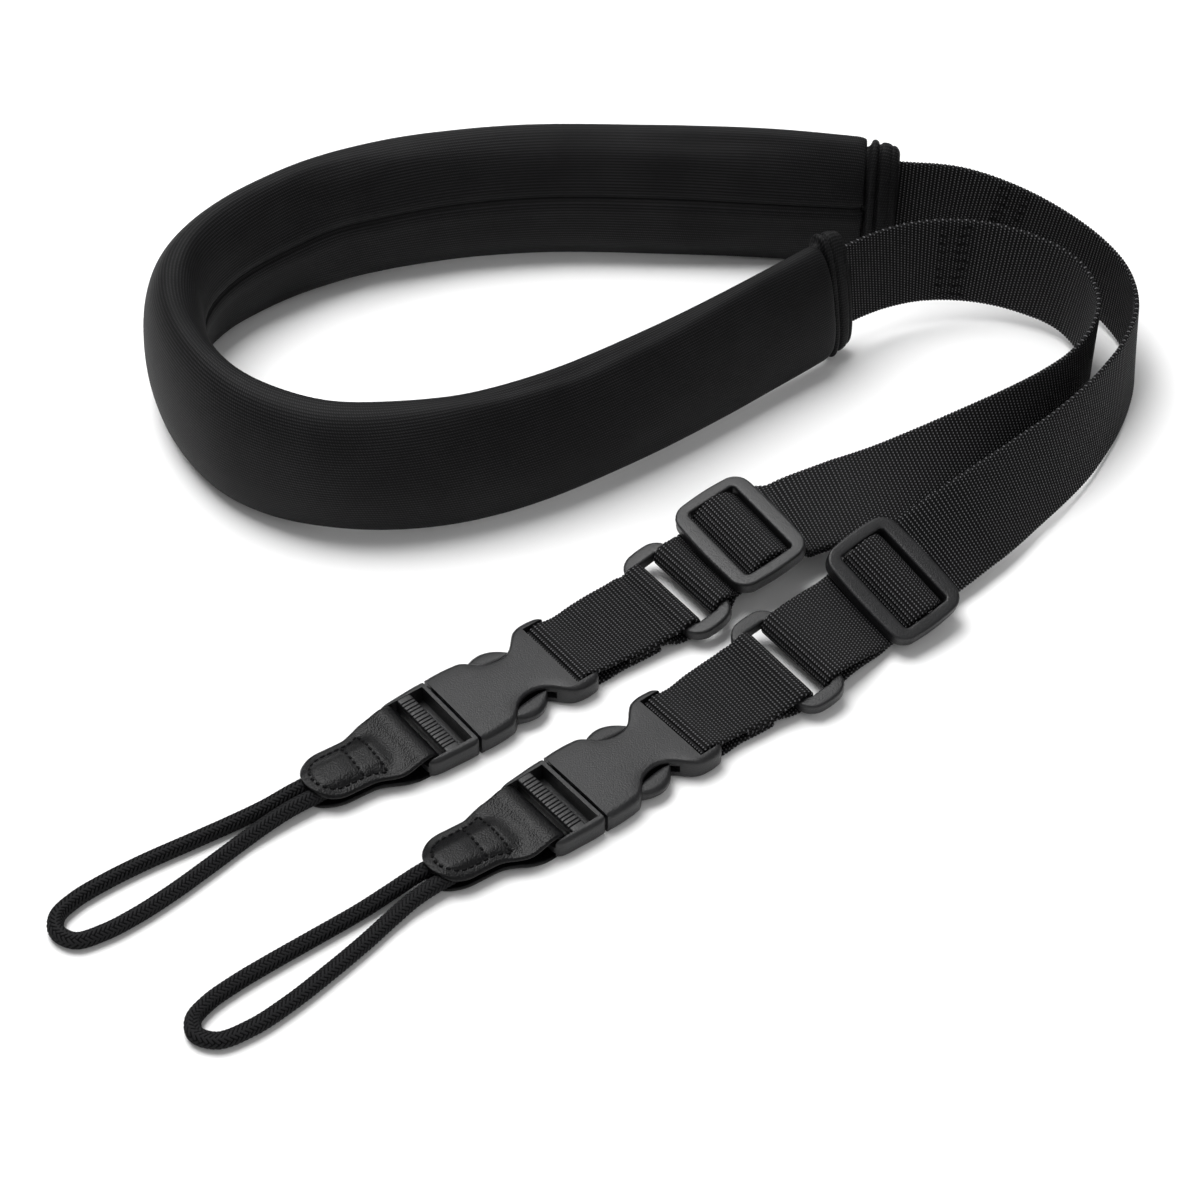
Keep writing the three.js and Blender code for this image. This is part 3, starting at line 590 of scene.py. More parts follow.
def roundedOutline(halfLong, halfWide, radius, pillow, perCorner=9, perSide=9):
    # Rounded rectangle of quarter turns joined by sides that bow out by pillow * (1 - t^2)
    turn = np.linspace(0, np.pi / 2, perCorner)
    t = np.linspace(-1, 1, perSide + 2)[1:-1]
    bow = pillow * (1 - t ** 2)
    straightX, straightY = halfLong - radius, halfWide - radius
    parts = []
    for quarter, (x, y) in enumerate([(1, 1), (-1, 1), (-1, -1), (1, -1)]):
        angle = turn + quarter * np.pi / 2
        corner = [x * straightX + radius * np.cos(angle), y * straightY + radius * np.sin(angle)]
        parts.append(np.stack(corner, -1))
        if quarter % 2 == 0:
            parts.append(np.stack([-x * straightX * t, y * (halfWide + bow)], -1))
        else:
            parts.append(np.stack([x * (halfLong + bow), -y * straightY * t], -1))
    return np.concatenate(parts)


def framePoints(outer, inner, thick, power, groove, around=44):
    # Frame between two outlines. Section: a superellipse |x|^n + |z|^n = 1 scaled to the gap between the
    # outlines and to the thickness; groove * exp(-((z - z0) / w)^2) is taken off the outer side.
    x, z = squaredTurn(around, 2 / power, 2 / power)
    middle, reach = (outer + inner) / 2, (outer - inner) / 2
    cut = groove * (x > 0) * np.exp(-((z + 0.15) / 0.16) ** 2)
    flat = middle[:, None] + reach[:, None] * x[None, :, None] - unit(reach)[:, None] * cut[None, :, None]
    return np.concatenate([flat, np.broadcast_to(thick / 2 * z[None, :, None], flat.shape[:2] + (1,))], -1)


def barPoints(place, half, width, thick, power, rows=24, around=20, drop=None):
    # A bar along the left axis with a superellipse section round place (along, up); drop lowers its top, row
    # by row
    side = np.linspace(-half, half, rows)
    x, z = squaredTurn(around, 2 / power, 2 / power)
    lowered = np.zeros(rows) if drop is None else drop(side)
    height = thick / 2 * z[None] - lowered[:, None] * np.clip(z[None], 0, 1)
    x, side = np.broadcast_arrays(width / 2 * x[None] + place[0], side[:, None])
    return np.stack([x, side, height + place[1]], -1)


def makeSlider(side):
    values = {"long": 23.6, "wide": 32.4, "corner": 5.2, "window": (14.8, 25.8), "windowCorner": 1.1,
              "thick": 4.2, "pillow": 0.35, "squareness": 6, "groove": 0.4}
    place, node = solidFrame("slider", side), f"slider_{side}"
    outer = roundedOutline(values["long"] / 2, values["wide"] / 2, values["corner"], values["pillow"])
    inner = roundedOutline(values["window"][0] / 2, values["window"][1] / 2, values["windowCorner"], 0)
    rim = framePoints(outer, inner, values["thick"], values["squareness"], values["groove"])
    mouldedPiece(f"slider_{side}_rim", place, rim, node, closedRows=True)
    bar = {"at": (0, -1.1), "width": 3.8, "thick": 1.5, "insideRim": 2}
    points = barPoints(bar["at"], values["wide"] / 2 - bar["insideRim"], bar["width"], bar["thick"], power=4)
    mouldedPiece(f"slider_{side}_bar", place, points, node)


def makeRing(side):
    values = {"long": 14.6, "wide": 34, "corner": 5.4, "window": (7.6, 25.6), "windowCorner": 1.2,
              "thick": 3.6, "pillow": 0.1, "squareness": 5, "groove": 0.25}
    outer = roundedOutline(values["long"] / 2, values["wide"] / 2, values["corner"], values["pillow"])
    inner = roundedOutline(values["window"][0] / 2, values["window"][1] / 2, values["windowCorner"], 0)
    rim = framePoints(outer, inner, values["thick"], values["squareness"], values["groove"])
    mouldedPiece(f"ring_{side}_rim", solidFrame("ring", side), rim, f"ring_{side}", closedRows=True)


def shellPoints(outline, halfHeight, radius, step, perCorner=6, perFlat=5, crown=0.0):
    # Loft along the strap of rounded rectangles: half width from the outline's smooth curve, edge radius
    # given by rows of (place, radius), and the top and bottom crowned by crown * (1 - (side / half)^2).
    table = splineThrough([(at, half, 0) for at, half in outline], 12)
    at = np.arange(outline[0][0], outline[-1][0] + step / 2, step)
    half = np.interp(at, table[:, 0], table[:, 1])[:, None]
    edge = np.interp(at, *np.array(radius).T)[:, None]
    turn = np.linspace(0, np.pi / 2, perCorner)
    parts = []
    for quarter, sign in enumerate((1, -1, -1, 1)):
        angle, level = turn + quarter * np.pi / 2, 1.0 if quarter < 2 else -1.0
        parts.append([0 * turn + sign, np.cos(angle), 0 * turn + level, np.sin(angle)])
        if quarter in (0, 2):
            across = np.linspace(sign, -sign, perFlat + 2)[1:-1]
            parts.append([across, 0 * across, 0 * across + level, 0 * across + level])
    flat, out, high, rise = np.concatenate(parts, axis=1)[:, None]
    side = flat * (half - edge) + out * edge
    height = high * (halfHeight - edge) + rise * edge
    height = height - np.sign(height) * crown * (side / half) ** 2 * (np.abs(height) / halfHeight)
    return np.stack([np.broadcast_to(at[:, None], side.shape), side, height], -1)


def cutBoxes(piece, place, boxes):
    # Cuts boxes out one after another, keeps the result as the piece's own mesh and bevels its sharp edges
    values = {"bevel": 0.16, "segments": 2, "smoothBelow": 38, "bevelAbove": 50}
    corners = np.array([[x, y, z] for x in (0, 1) for y in (0, 1) for z in (0, 1)])
    faces = [[0, 1, 3, 2], [4, 6, 7, 5], [0, 4, 5, 1], [2, 3, 7, 6], [0, 2, 6, 4], [1, 5, 7, 3]]
    for low, high in np.array(boxes, float):
        cutter = pieceFrom("cutter", placed(place, low + corners * (high - low)), faces, mouldedAcetal,
                           smooth=False)
        modifier = piece.modifiers.new("cut", "BOOLEAN")
        modifier.operation = "DIFFERENCE"
        modifier.solver = "EXACT"
        modifier.object = cutter
        bpy.context.view_layer.update()
        graph = bpy.context.evaluated_depsgraph_get()
        cut = bpy.data.meshes.new_from_object(piece.evaluated_get(graph))
        piece.modifiers.clear()
        old = piece.data
        piece.data = cut
        bpy.data.meshes.remove(old)
        bpy.data.objects.remove(cutter)
    piece.data.polygons.foreach_set("use_smooth", np.full(len(piece.data.polygons), True))
    piece.data.set_sharp_from_angle(angle=np.radians(values["smoothBelow"]))
    bevel = piece.modifiers.new("edges", "BEVEL")
    bevel.width = values["bevel"] * mm
    bevel.segments = values["segments"]
    bevel.angle_limit = np.radians(values["bevelAbove"])


def makeFemale(side, place):
    # Rows of (along, half width) and (along, edge radius), from the mouth to the webbing's end
    outline = [(0, 12.5), (1, 12.9), (8.6, 12.9), (10.4, 12.4), (12, 11), (13.8, 9), (16, 7.6), (18.4, 7),
               (20.8, 7.1), (22.8, 7.9), (24.6, 9.4), (26.4, 11.4), (28, 12.9), (29.6, 13.6), (31.6, 13.9),
               (33.8, 13.9), (35.4, 13.6), (36.4, 12.8), (37, 11.6)]
    radius = [(0, 0.7), (0.8, 1.6), (9, 1.9), (13, 1.0), (22, 0.9), (28, 1.4), (34, 1.8), (37, 1.6)]
    values = {"halfHeight": 3.3, "step": 0.5, "crown": 0.25, "barAt": (34.2, 0), "barHalf": 12.2,
              "barWidth": 2.6, "barThick": 2.8}
    node = f"buckle_female_{side}"
    shell = shellPoints(outline, values["halfHeight"], radius, values["step"], crown=values["crown"])
    piece = mouldedPiece(f"buckleFemale_{side}_body", place, shell, node)
    room = ((-1, -11.2, -1.9), (23.4, 11.2, 1.9))
    sideWindows = ((23, -15, -1.1), (25.2, 15, 1.1))
    webbingSlot = ((30.4, -11.8, -5), (40, 11.8, 5))
    cutBoxes(piece, place, [room, sideWindows, webbingSlot])
    bar = barPoints(values["barAt"], values["barHalf"], values["barWidth"], values["barThick"], power=3)
    mouldedPiece(f"buckleFemale_{side}_bar", place, bar, node)


def makeMale(side, place):
    # Rows of (along, half width) and (along, edge radius), from the leather's end to the mouth
    outline = [(-15.6, 9.6), (-15, 11), (-13.6, 11.9), (-8, 12.5), (-1.6, 12.7), (-0.7, 12.3)]
    radius = [(-15.6, 1.4), (-13, 1.3), (-2, 1.3), (-0.7, 0.7)]
    values = {"halfHeight": 3.0, "step": 0.4, "inside": 10.9, "intoFrame": 0.5}
    inside, node = values["inside"], f"buckle_male_{side}"
    shell = shellPoints(outline, values["halfHeight"], radius, values["step"])
    piece = mouldedPiece(f"buckleMale_{side}_frame", place, shell, node)
    window = ((-12.8, -inside, -5), (-1.8, inside, 5))
    overBar, underBar = ((-17, -inside, 1), (-12.7, inside, 5)), ((-17, -inside, -5), (-12.7, inside, -1))
    behindBar = ((-17, -inside, -5), (-15.4, inside, 5))
    cutBoxes(piece, place, [window, overBar, underBar, behindBar])

    def grooves(sideways):
        # Pairs of fine cross grooves over the grip bar: depth * exp(-(d / width)^2) each
        cut = {"pairs": 8, "pitch": 2.45, "apart": 0.55, "depth": 0.6, "width": 0.11}
        middles = (np.arange(cut["pairs"]) - (cut["pairs"] - 1) / 2) * cut["pitch"]
        near = np.concatenate([middles - cut["apart"], middles + cut["apart"]])
        return cut["depth"] * np.exp(-((sideways[:, None] - near[None]) / cut["width"]) ** 2).sum(1)

    # each bar: (along, up) of its middle, width, thickness, squareness
    bars = {"grip": ((-7.5, 1.75), 4.1, 2.2, 7), "rib": ((-9.1, -0.6), 0.9, 4.4, 5),
            "plate": ((-2.6, -2.4), 3.6, 1.2, 6)}
    for name, (at, width, thick, power) in bars.items():
        fine = {"rows": 300, "drop": grooves} if name == "grip" else {}
        points = barPoints(at, inside + values["intoFrame"], width, thick, power, **fine)
        mouldedPiece(f"buckleMale_{side}_{name}", place, points, node)
    for sign, hand in ((1, "left"), (-1, "right")):
        makeProng(f"buckleMale_{side}_prong_{hand}", place, sign, node)


def makeProng(name, place, sign, node):
    # Prong and its almond press tab: sections across the strap, inner side from one curve and outer side from
    # another, rounded top to bottom, with one raised line along the outer side.
    inner = splineThrough([(-1.2, 9, 0), (8, 8.9, 0), (15, 8, 0), (21.4, 7.4, 0), (23.4, 8, 0)], 12)
    outer = splineThrough([(-1.2, 10.6, 0), (10.6, 10.6, 0), (12.4, 11.5, 0), (15, 12.5, 0), (17.6, 12.7, 0),
                           (20, 11.9, 0), (22, 10.3, 0), (23.4, 8.4, 0)], 12)
    halfHeight, line = 1.75, {"height": 0.22, "at": 0.42, "width": 0.12, "from": 10.5, "to": 23.2, "ease": 3}
    at = np.concatenate([np.linspace(-1.2, 10, 12), np.linspace(10.4, 23.4, 44)])
    low, high = (np.interp(at, curve[:, 0], curve[:, 1])[:, None] for curve in (inner, outer))
    x, z = squaredTurn(28, 0.7, 0.6)
    tab = (np.clip((at - line["from"]) / line["ease"], 0, 1)
           * np.clip((line["to"] - at) / line["ease"], 0, 1))[:, None]
    raised = line["height"] * tab * (x > 0) * np.exp(-((z - line["at"]) / line["width"]) ** 2)
    across = (low + high) / 2 + (high - low) / 2 * x + raised
    along = np.broadcast_to(at[:, None], across.shape)
    height = np.broadcast_to(halfHeight * z[None], across.shape)
    mouldedPiece(name, place, np.stack([along, sign * across, height], -1), node)


for side in sides:
    makeSlider(side)
    makeRing(side)
    # both halves of a buckle share the latch body's frame, moved back to its mouth
    mouth = solidFrame("buckle_female", side)
    mouth["origin"] = mouth["origin"] - mouth["axes"][0] * mouth["halfSize"][0]
    makeFemale(side, mouth)
    makeMale(side, mouth)
print("moulded pieces made")


# ---- leather tabs and stitches ----
def stitchPiece(name, starts, ends, normals, slot, radius, sink):
    # Each stitch is a short round-ended thread: radius * sqrt(1 - u^6), dipping by sink * u^2 at its ends
    u = np.array([-1, -0.92, -0.6, 0, 0.6, 0.92, 1.0])
    turn = 2 * np.pi * np.arange(6) / 6
    middle, halfWay = (starts + ends) / 2, (ends - starts) / 2
    side = unit(np.cross(halfWay, normals))
    girth = radius * mm * np.sqrt(np.clip(1 - u ** 6, 0.02, 1))
    ring = (side[:, None, None] * np.cos(turn)[None, None, :, None]
            + normals[:, None, None] * np.sin(turn)[None, None, :, None]) * girth[None, :, None, None]
    spine = (middle[:, None] + halfWay[:, None] * u[None, :, None]
             - normals[:, None] * (sink * mm * u[None, :, None] ** 2))
    points = spine[:, :, None] + ring
    count, rows, columns = points.shape[:3]
    quads, _ = gridFaces(rows, columns)
    cap = np.arange(columns)
    faces = []
    for start in range(0, count * rows * columns, rows * columns):
        faces += (quads + start).tolist()
        faces += [(cap[::-1] + start).tolist(), (cap + start + (rows - 1) * columns).tolist()]
    piece = pieceFrom(name, points.reshape(-1, 3), faces, bondedThread, slot)
    work = bmesh.new()
    work.from_mesh(piece.data)
    bmesh.ops.recalc_face_normals(work, faces=work.faces)
    work.to_mesh(piece.data)
    work.free()


def makeTab(side):
    # Leather strip folded round the bar. Swell: the outer face lifts over the cord ends near the round tip,
    # by swell * (1 - (across / reach)^2); pinch: a narrow valley follows the stitch lines; press: the two
    # layers close on each other beside the cords and beyond their ends, eased over a few millimetres; fold:
    # the leather arches up before it turns down round the bar.
    values = {"thick": 1.35, "swell": 0.4, "inset": 2.2, "cross": (13.6, 19.3), "pinch": 0.16, "groove": 0.45,
              "press": 1.35, "hold": 2.2, "stitch": 1.35, "pitch": 2.0, "thread": 0.36, "fold": 0.7,
              "ridge": (28.5, 3.2), "tipCentre": 8.1, "flatCount": 41, "edgeCount": 5,
              "swellFrom": 1.5, "swellEase": 3, "pressFrom": 0.5, "pressEase": 5, "besideEase": 5.6,
              "beyondEase": 7, "foldFrom": 28, "foldEase": 9, "seamProud": 0.06, "threadSink": 0.16}
    inset, cross, tipCentre = values["inset"], values["cross"], values["tipCentre"]
    ribbon = readRibbon(f"leather_tab_{side}", centreOf(f"cord_loop_{side}"), -1)
    length = ribbon["length"]
    tip = np.concatenate([np.linspace(0, 1.2, 8)[:-1], np.linspace(1.2, 5, 14)[:-1]]) * mm
    at = np.concatenate([tip, np.linspace(5 * mm, length - 5 * mm, 110), length - tip[::-1]])
    middle, _, left, normal, half = alongRibbon(ribbon, at)
    ends = (np.array(cordRoutes[side])[[0, -1]] - layCentre) * mm
    row = np.abs(at - (length - tipCentre * mm)).argmin()
    lean = ((ends - middle[row]) @ left[row]).mean() / mm

    def riseAt(fromTip, across, half):
        # How far the leather's middle moves outwards, in millimetres
        toCentre = np.hypot(across, np.maximum(tipCentre - fromTip, 0))
        border = np.abs(np.where(fromTip < tipCentre, toCentre - (tipCentre - inset),
                                 np.abs(across) - (half - inset)))
        valley = np.exp(-(border / values["groove"]) ** 2) * (fromTip < cross[1] + 0.3)
        for place in cross:
            line = np.exp(-((fromTip - place) / values["groove"]) ** 2) * (np.abs(across) < half - inset)
            valley = np.maximum(valley, line)
        bulge = np.clip(1 - (across / (half - inset - 0.2)) ** 2, 0, 1)
        bulge = bulge * eased((fromTip - values["swellFrom"]) / values["swellEase"])
        bulge = bulge * eased((cross[0] + values["pressFrom"] - fromTip) / values["pressEase"])
        beside = eased((np.abs(across - lean) - values["hold"]) / values["besideEase"])
        beyond = eased((fromTip - cross[1]) / values["beyondEase"])
        press = beside + beyond - beside * beyond
        press = press * eased((values["foldFrom"] - fromTip) / values["foldEase"])
        ridge = np.exp(-((fromTip - values["ridge"][0]) / values["ridge"][1]) ** 2)
        return (values["swell"] * bulge + values["fold"] * ridge
                - values["pinch"] * valley - values["press"] * press)

    flat, out, height = flatSection(values["flatCount"], values["edgeCount"])
    radius = values["thick"] / 2 * mm
    reach = flat * np.maximum(half - radius, 0.2 * mm)[:, None] + out * radius
    fromTip = np.minimum(at, length - at)[:, None] / mm
    lift = height * radius + riseAt(fromTip, reach / mm, half[:, None] / mm) * mm
    points = middle[:, None] + left[:, None] * reach[..., None] + normal[:, None] * lift[..., None]
    points[..., 2] = np.maximum(points[..., 2], 0.1 * mm)
    gridPiece(f"leatherTab_{side}_leather", points, grainedLeather, f"leather_tab_{side}")

    def widthAt(place):
        return alongRibbon(ribbon, length - place * mm)[4] / mm - inset

    # seams on the upper layer: one round the tip and along both sides, and two across
    arc = np.linspace(np.pi / 2, -np.pi / 2, 60)
    straight = np.linspace(cross[1], tipCentre, 30)
    bend = tipCentre - inset
    seams = [(np.concatenate([straight, tipCentre - bend * np.cos(arc), straight[::-1]]),
              np.concatenate([widthAt(straight), bend * np.sin(arc), -widthAt(straight[::-1])]))]
    for place in cross:
        edge = widthAt(np.array([place]))[0]
        seams.append((np.full(20, place), np.linspace(-edge, edge, 20)))
    starts, ends, normals = [], [], []
    for places, sideways in seams:
        centre, _, left, up, half = alongRibbon(ribbon, length - places * mm)
        raised = (values["thick"] / 2 + values["seamProud"] + riseAt(places, sideways, half / mm)) * mm
        path = centre + left * (sideways * mm)[:, None] + up * raised[:, None]
        run = runAlong(path)
        count = int(round(run[-1] / (values["pitch"] * mm)))
        gap = (run[-1] / count - values["stitch"] * mm) / 2
        first = run[-1] / count * np.arange(count) + gap
        starts.append(rowsAt(first, run, path))
        ends.append(rowsAt(first + values["stitch"] * mm, run, path))
        normals.append(unit(rowsAt(first, run, up)))
    stitchPiece(f"leatherTab_{side}_stitches", np.vstack(starts), np.vstack(ends), np.vstack(normals),
                "leather", values["thread"], values["threadSink"])


for side in sides:
    makeTab(side)
print("leather tabs made")


def makeTack(name, ribbon, first, last, outwards):
    # Sewn patch on webbing: lengthwise zigzag rows of stitches, each a slanted step to the next column
    values = {"rows": 9, "step": 1.25, "zigzag": 0.55, "margin": 2.2, "between": 0.08, "thread": 0.28,
              "sink": 0.3}
    places = np.arange(first, last, values["step"])
    half = alongRibbon(ribbon, np.array([first * mm]))[4][0] / mm - values["margin"]
    columns = np.linspace(-half, half, values["rows"])
    place, column = (part.ravel() for part in np.meshgrid(places, columns, indexing="ij"))
    swing = np.where(np.round((place - first) / values["step"]) % 2 == 0, 1, -1) * values["zigzag"]

    def spot(place, sideways):
        centre, _, left, normal, _ = alongRibbon(ribbon, place * mm)
        return centre + left * (sideways * mm)[:, None] + normal * (outwards * mm), normal * np.sign(outwards)

    starts, up = spot(place + values["between"], column - swing)
    ends, _ = spot(place + values["step"] - values["between"], column + swing)
    stitchPiece(name, starts, ends, up, "webbing", values["thread"], values["sink"])


def nearestAlong(ribbon, place):
    return ribbon["at"][np.linalg.norm(ribbon["rows"][:, :3] - place, axis=1).argmin()] / mm


tackValues = {"fromCuff": {"near": 29, "far": 8}, "length": 9, "onLoop": 5.2, "proud": 0.72}
for side in sides:
    ribbon, proud = strapRibbons[side], tackValues["proud"]
    last = nearestAlong(ribbon, centreOf(f"pad_cuff_{side}")) - tackValues["fromCuff"][side]
    for face, outwards in (("front", proud), ("back", -proud)):
        makeTack(f"strap_{side}_tack_{face}", ribbon, last - tackValues["length"], last, outwards)
    ribbon, reach = loopRibbons[side], tackValues["onLoop"] / 2
    middle = nearestAlong(ribbon, centreOf(f"buckle_loop_{side}") + [0, 0, 4 * mm])
    makeTack(f"buckleLoop_{side}_tack", ribbon, middle - reach, middle + reach, proud)
print("sewn patches made")


# ---- neck pad ----
def swellGrid(start, values):
    # A short cloth run with inner pressure and no gravity; no point moves further than the cap
    rows, around = start.shape[:2]
    piece = gridPiece("padCloth", start, ribbedKnit)
    cloth = piece.modifiers.new("swell", "CLOTH")
    cloth.settings.use_pressure = True
    cloth.settings.uniform_pressure_force = values["pressure"]
    cloth.settings.effector_weights.gravity = 0
    cloth.settings.quality = 6
    cloth.point_cache.frame_end = values["frames"]
    for number in range(1, values["frames"] + 1):
        bpy.context.scene.frame_set(number)
    settled = piece.evaluated_get(bpy.context.evaluated_depsgraph_get()).to_mesh()
    moved = np.empty(len(settled.vertices) * 3)
    settled.vertices.foreach_get("co", moved)
    bpy.context.scene.frame_set(1)
    bpy.data.objects.remove(piece)
    shift = moved.reshape(-1, 3)[:rows * around].reshape(start.shape) - start
    size = np.maximum(np.linalg.norm(shift, axis=2, keepdims=True), 1e-9)
    print(f"pad swelled by up to {size.max() / mm:.2f} mm")
    return start + shift * np.minimum(1, values["cap"] * mm / size)


def makePad():
    # Grid from the CAD rings, swelled by a short cloth run with inner pressure, then resampled finely with a
    # sewn valley along its inner face: depth * exp(-(d / width)^2), d the distance from the seam.
    values = {"alongStep": 4, "around": 44, "shrink": 0.95, "cap": 1.6, "pressure": 4, "frames": 20,
              "seamDown": 0.485, "seamDepth": 1.15, "seamWidth": 0.55, "lip": 0.42, "pucker": 0.16,
              "puckerPitch": 5.2, "puckerWidth": 2.4, "lipAt": 3, "lipWidth": 2, "crown": 1.13,
              "endRound": 3, "endDraw": 0.42, "nearShare": 0.06}
    rings = readRings("neck_pad", centreOf("pad_cuff_far"))
    inner = rings.reshape(-1, 3).mean(0)
    around = values["around"]
    rings = np.fft.irfft(np.fft.rfft(rings, axis=1), around, axis=1) * around / rings.shape[1]
    centres, middleRow = rings.mean(1), len(rings) // 2
    # the seam's column: on the inner side, at its share of the height from the top
    section = rings[middleRow]
    inwards = (section - centres[middleRow]) @ unit((inner - centres[middleRow]) * [1, 1, 0])
    target = section[:, 2].max() - values["seamDown"] * np.ptp(section[:, 2])
    score = np.abs(section[:, 2] - target) + np.where(inwards > 0, 0, 1)
    rings = np.roll(rings, -int(score.argmin()), axis=1)
    rows = int(runAlong(centres)[-1] / (values["alongStep"] * mm))
    flat = splineThrough(np.hstack([centres, rings.reshape(len(rings), -1)]), 10)
    dense = runAlong(flat[:, :3])
    grid = rowsAt(np.linspace(0, dense[-1], rows), dense, flat[:, 3:]).reshape(rows, around, 3)
    topColumn, footColumn = grid[rows // 2, :, 2].argmax(), grid[rows // 2, :, 2].argmin()
    centre = grid.mean(1, keepdims=True)
    pathWay = np.gradient(centre[:, 0], axis=0)
    swollen = grid
    swollen = swellGrid(centre + (grid - centre) * values["shrink"], values)
    # each section is stretched along its own two axes until it is as tall and as thick as the CAD's
    tall = unit(grid[:, topColumn] - grid[:, footColumn])
    for axis in (tall, unit(np.cross(tall, pathWay))):
        reach = [np.ptp(((part - centre) * axis[:, None]).sum(-1), axis=1) for part in (grid, swollen)]
        along = ((swollen - centre) * axis[:, None]).sum(-1, keepdims=True)
        swollen = swollen + along * axis[:, None] * (reach[0] / reach[1] - 1)[:, None, None]
    # crowned: across its thickness each section goes from a squared oval to an ellipse, (d / widest)^crown
    across = unit(np.cross(unit(swollen[:, topColumn] - swollen[:, footColumn]), pathWay))
    away = ((swollen - centre) * across[:, None]).sum(-1, keepdims=True)
    widest = np.where(away > 0, away.max(1, keepdims=True), -away.min(1, keepdims=True))
    crowned = np.sign(away) * widest * (np.abs(away) / widest) ** values["crown"]
    swollen = swollen + across[:, None] * (crowned - away)
    # evened out: each row but the end ones becomes the weighted mean of itself and two on either side
    evened = sum(weight * swollen[first:first + rows - 4] for first, weight in enumerate((1, 2, 3, 2, 1))) / 9
    swollen = np.concatenate([swollen[:2], evened, swollen[-2:]])
    # resampled: columns crowd towards the seam, read from each ring's Fourier series
    gaps = np.linalg.norm(np.roll(swollen, -1, axis=1) - swollen, axis=2).mean(0)
    girth = gaps.sum()
    near = values["nearShare"]
    crowded = np.append(near * np.linspace(0, 1, 9), near + (0.5 - near) * np.linspace(0, 1, 25)[1:])
    wanted = np.concatenate([crowded, 1 - crowded[::-1][1:-1]]) * girth
    share = np.interp(wanted, np.concatenate([[0], np.cumsum(gaps)]), np.arange(around + 1))
    spectrum = np.fft.rfft(swollen, axis=1)
    order = np.arange(spectrum.shape[1])
    weight = np.where((order == 0) | (2 * order == around), 1, 2)
    waves = np.exp(2j * np.pi * order[None] * share[:, None] / around) * weight[None] / around
    fineRings = np.einsum("rkc,sk->rsc", spectrum, waves).real
    # rows crowd towards the two ends
    flat = splineThrough(np.hstack([fineRings.mean(1), fineRings.reshape(rows, -1)]), 8)
    dense = runAlong(flat[:, :3])
    ends = np.array([0, 0.3, 0.8, 1.6, 2.8, 4.2, 6]) * mm
    at = np.concatenate([ends, np.linspace(7.5 * mm, dense[-1] - 7.5 * mm, 190), dense[-1] - ends[::-1]])
    points = rowsAt(at, dense, flat[:, 3:]).reshape(len(at), -1, 3)
    # rounded ends: sections shrink like a quarter circle over the last few millimetres
    pull = values["endRound"] - np.minimum(np.minimum(at, dense[-1] - at) / mm, values["endRound"])
    drawn = (values["endRound"] - np.sqrt(values["endRound"] ** 2 - pull ** 2)) * values["endDraw"]
    centre = points.mean(1, keepdims=True)
    reach = np.linalg.norm(points - centre, axis=2, keepdims=True)
    points = centre + (points - centre) * (1 - np.minimum(drawn[:, None, None] * mm / reach, 0.5))
    # the seam's valley, the lips beside it and the puckers along it
    fromSeam = np.minimum(wanted, girth - wanted) / mm
    lumps = values["pucker"] * np.sin(2 * np.pi * at / (values["puckerPitch"] * mm))[:, None]
    dip = (values["seamDepth"] * np.exp(-(fromSeam / values["seamWidth"]) ** 2)
           - values["lip"] * np.exp(-((fromSeam - values["lipAt"]) / values["lipWidth"]) ** 2)
           + lumps * np.exp(-(fromSeam / values["puckerWidth"]) ** 2))
    beside = np.roll(points, -1, axis=1) - np.roll(points, 1, axis=1)
    normal = unit(np.cross(np.gradient(points, axis=0), beside))
    normal = normal * np.sign(((points - centre) * normal).sum(-1, keepdims=True).mean())
    points = points - normal * (dip[..., None] * mm)
    points[..., 2] = np.maximum(points[..., 2], 0.15 * mm)
    uv = np.stack(np.broadcast_arrays(at[:, None] / mm, np.append(wanted, girth)[None] / mm), -1)
    piece = gridPiece("neckPad_cover", points, ribbedKnit, "neck_pad", uv=uv)
    smooth = piece.modifiers.new("smooth", "SUBSURF")
    smooth.levels = smooth.render_levels = 1


makePad()
print("neck pad made")


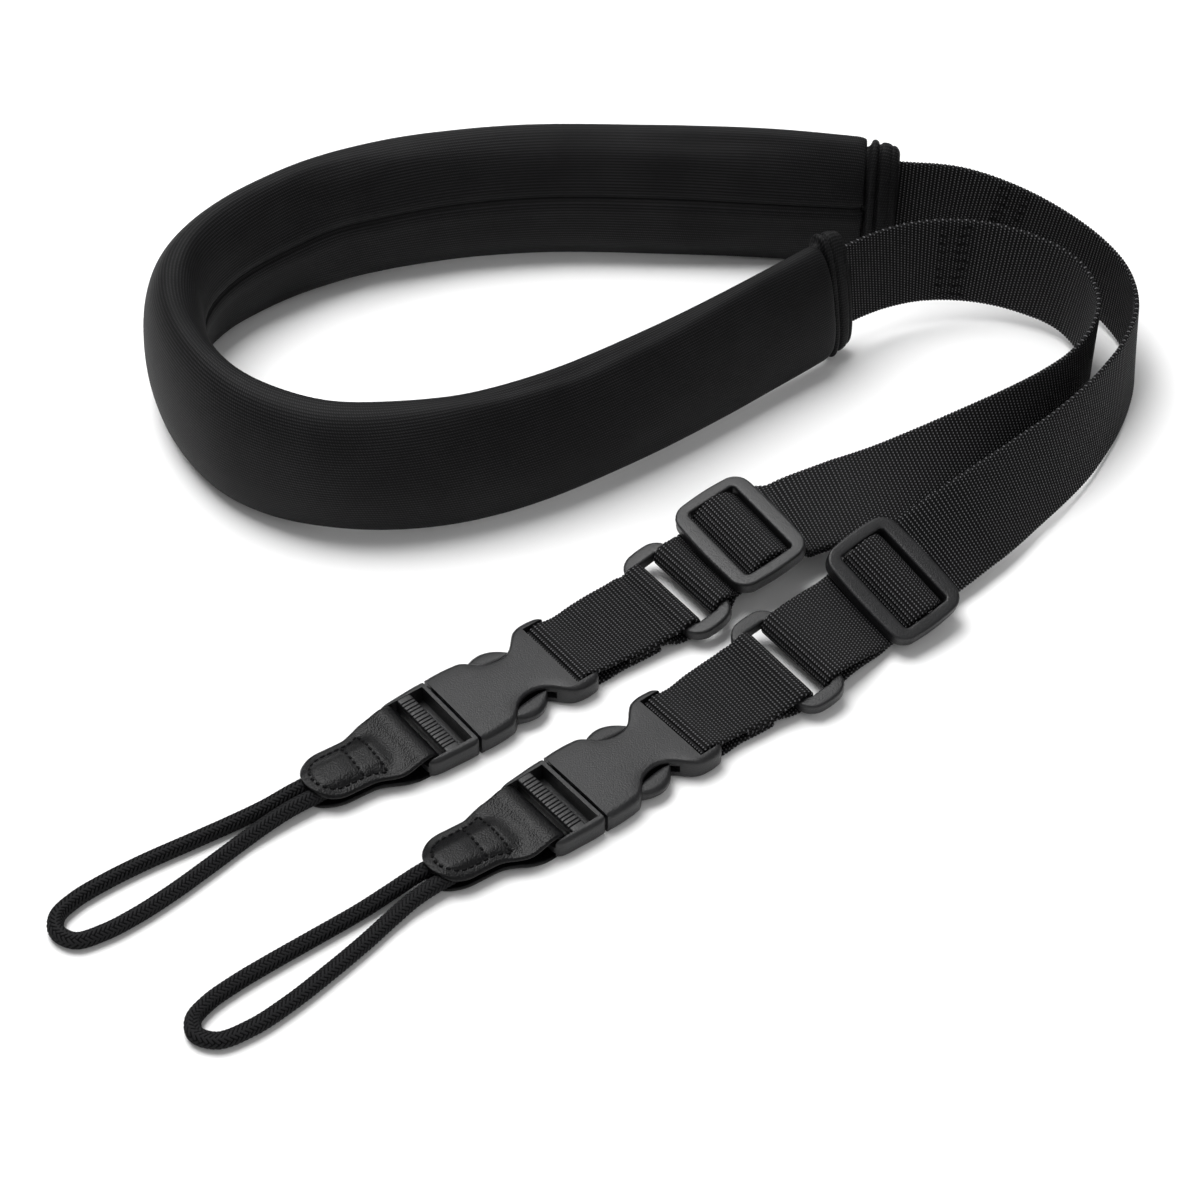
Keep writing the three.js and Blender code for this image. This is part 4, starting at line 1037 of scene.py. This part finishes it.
# ---- cuffs: where the webbing leaves the pad ----
def makeCuff(side):
    # Oval sections going out from the pad's end. Profile rows are (out, inset): a groove, a piping ridge, a
    # second groove, the cuff's body with a stitched dip, and a rounded end.
    profile = [(-1.8, 2.6), (-0.6, 1.9), (0.1, 1.6), (0.6, 1.1), (1.0, 0.15), (1.6, -0.35), (2.3, -0.3),
               (2.9, 0.2), (3.2, 0.85), (3.6, 0.7), (4.1, 0.2), (4.8, 0.0), (6.2, 0.05), (6.7, 0.3),
               (7.0, 0.5), (7.3, 0.35), (7.9, 0.45), (8.5, 0.85), (9.0, 1.6), (9.25, 2.5), (9.3, 3.4)]
    rings = readRings(f"pad_cuff_{side}", centreOf("neck_pad"))
    centre = rings.mean(1)
    out = unit(centre[-1] - centre[0])
    away = rings[1] - centre[1]
    up = away[away[:, 2].argmax()]
    up = unit(up - (up @ out) * out)
    across = np.cross(out, up)
    halfHeight, halfThick = np.abs(away @ up).max() / mm, np.abs(away @ across).max() / mm
    table = splineThrough([(o, inset, 0) for o, inset in profile], 5)
    wide, thick = squaredTurn(72, 0.75, 0.75)
    forward, inset = table[:, 0, None], table[:, 1, None]
    taper = 1 - 0.05 * np.clip((forward - 3) / 6, 0, 1)
    heights = wide * (halfHeight - inset) * taper
    thicks = thick * np.maximum(halfThick - inset, 0.6)
    local = out * forward[..., None] + up * heights[..., None] + across * thicks[..., None]
    points = centre[0] + local * mm
    points[..., 2] = np.maximum(points[..., 2], 0.2 * mm)
    girth = runAlong(points[8]) / mm
    girth = np.append(girth, girth[-1] + girth[1])
    uv = np.stack(np.broadcast_arrays(forward, girth[None]), -1)
    gridPiece(f"padCuff_{side}_cover", points, ribbedKnit, f"pad_cuff_{side}", uv=uv)


for side in sides:
    makeCuff(side)
print("cuffs made")


# ---- studio ----
studioValues = {"floor": 8, "world": 0.33, "key": 20.5, "back": 3.6, "fill": 2.2}
floorMesh = bpy.data.meshes.new("floor")
corners = np.array([(-1, -1, 0), (1, -1, 0), (1, 1, 0), (-1, 1, 0)]) * studioValues["floor"] / 2
floorMesh.from_pydata(corners.tolist(), [], [(0, 1, 2, 3)])
floorMesh.materials.append(studioFloor)
floor = bpy.data.objects.new("floor", floorMesh)
bpy.context.scene.collection.objects.link(floor)

world = bpy.data.worlds.new("studio")
bpy.context.scene.world = world
world.use_nodes = True
world.node_tree.nodes["Background"].inputs["Color"].default_value = linearColour("#ffffff")
world.node_tree.nodes["Background"].inputs["Strength"].default_value = studioValues["world"]


def addSoftbox(name, place, size, power):
    # Square area light aimed at the strap's middle
    data = bpy.data.lights.new(name, "AREA")
    data.shape = "SQUARE"
    data.size = size
    data.energy = power
    lamp = bpy.data.objects.new(name, data)
    lamp.location = place
    aim = -lamp.location
    lamp.rotation_euler = aim.to_track_quat("-Z", "Y").to_euler()
    bpy.context.scene.collection.objects.link(lamp)


addSoftbox("keySoftbox", (-0.35, 0.3, 1.25), 0.85, studioValues["key"])
addSoftbox("backSoftbox", (-0.1, 1.2, 0.9), 0.9, studioValues["back"])
addSoftbox("fillSoftbox", (0.5, -0.9, 0.9), 0.9, studioValues["fill"])
bpy.context.scene.view_settings.view_transform = "Standard"
print("studio made")
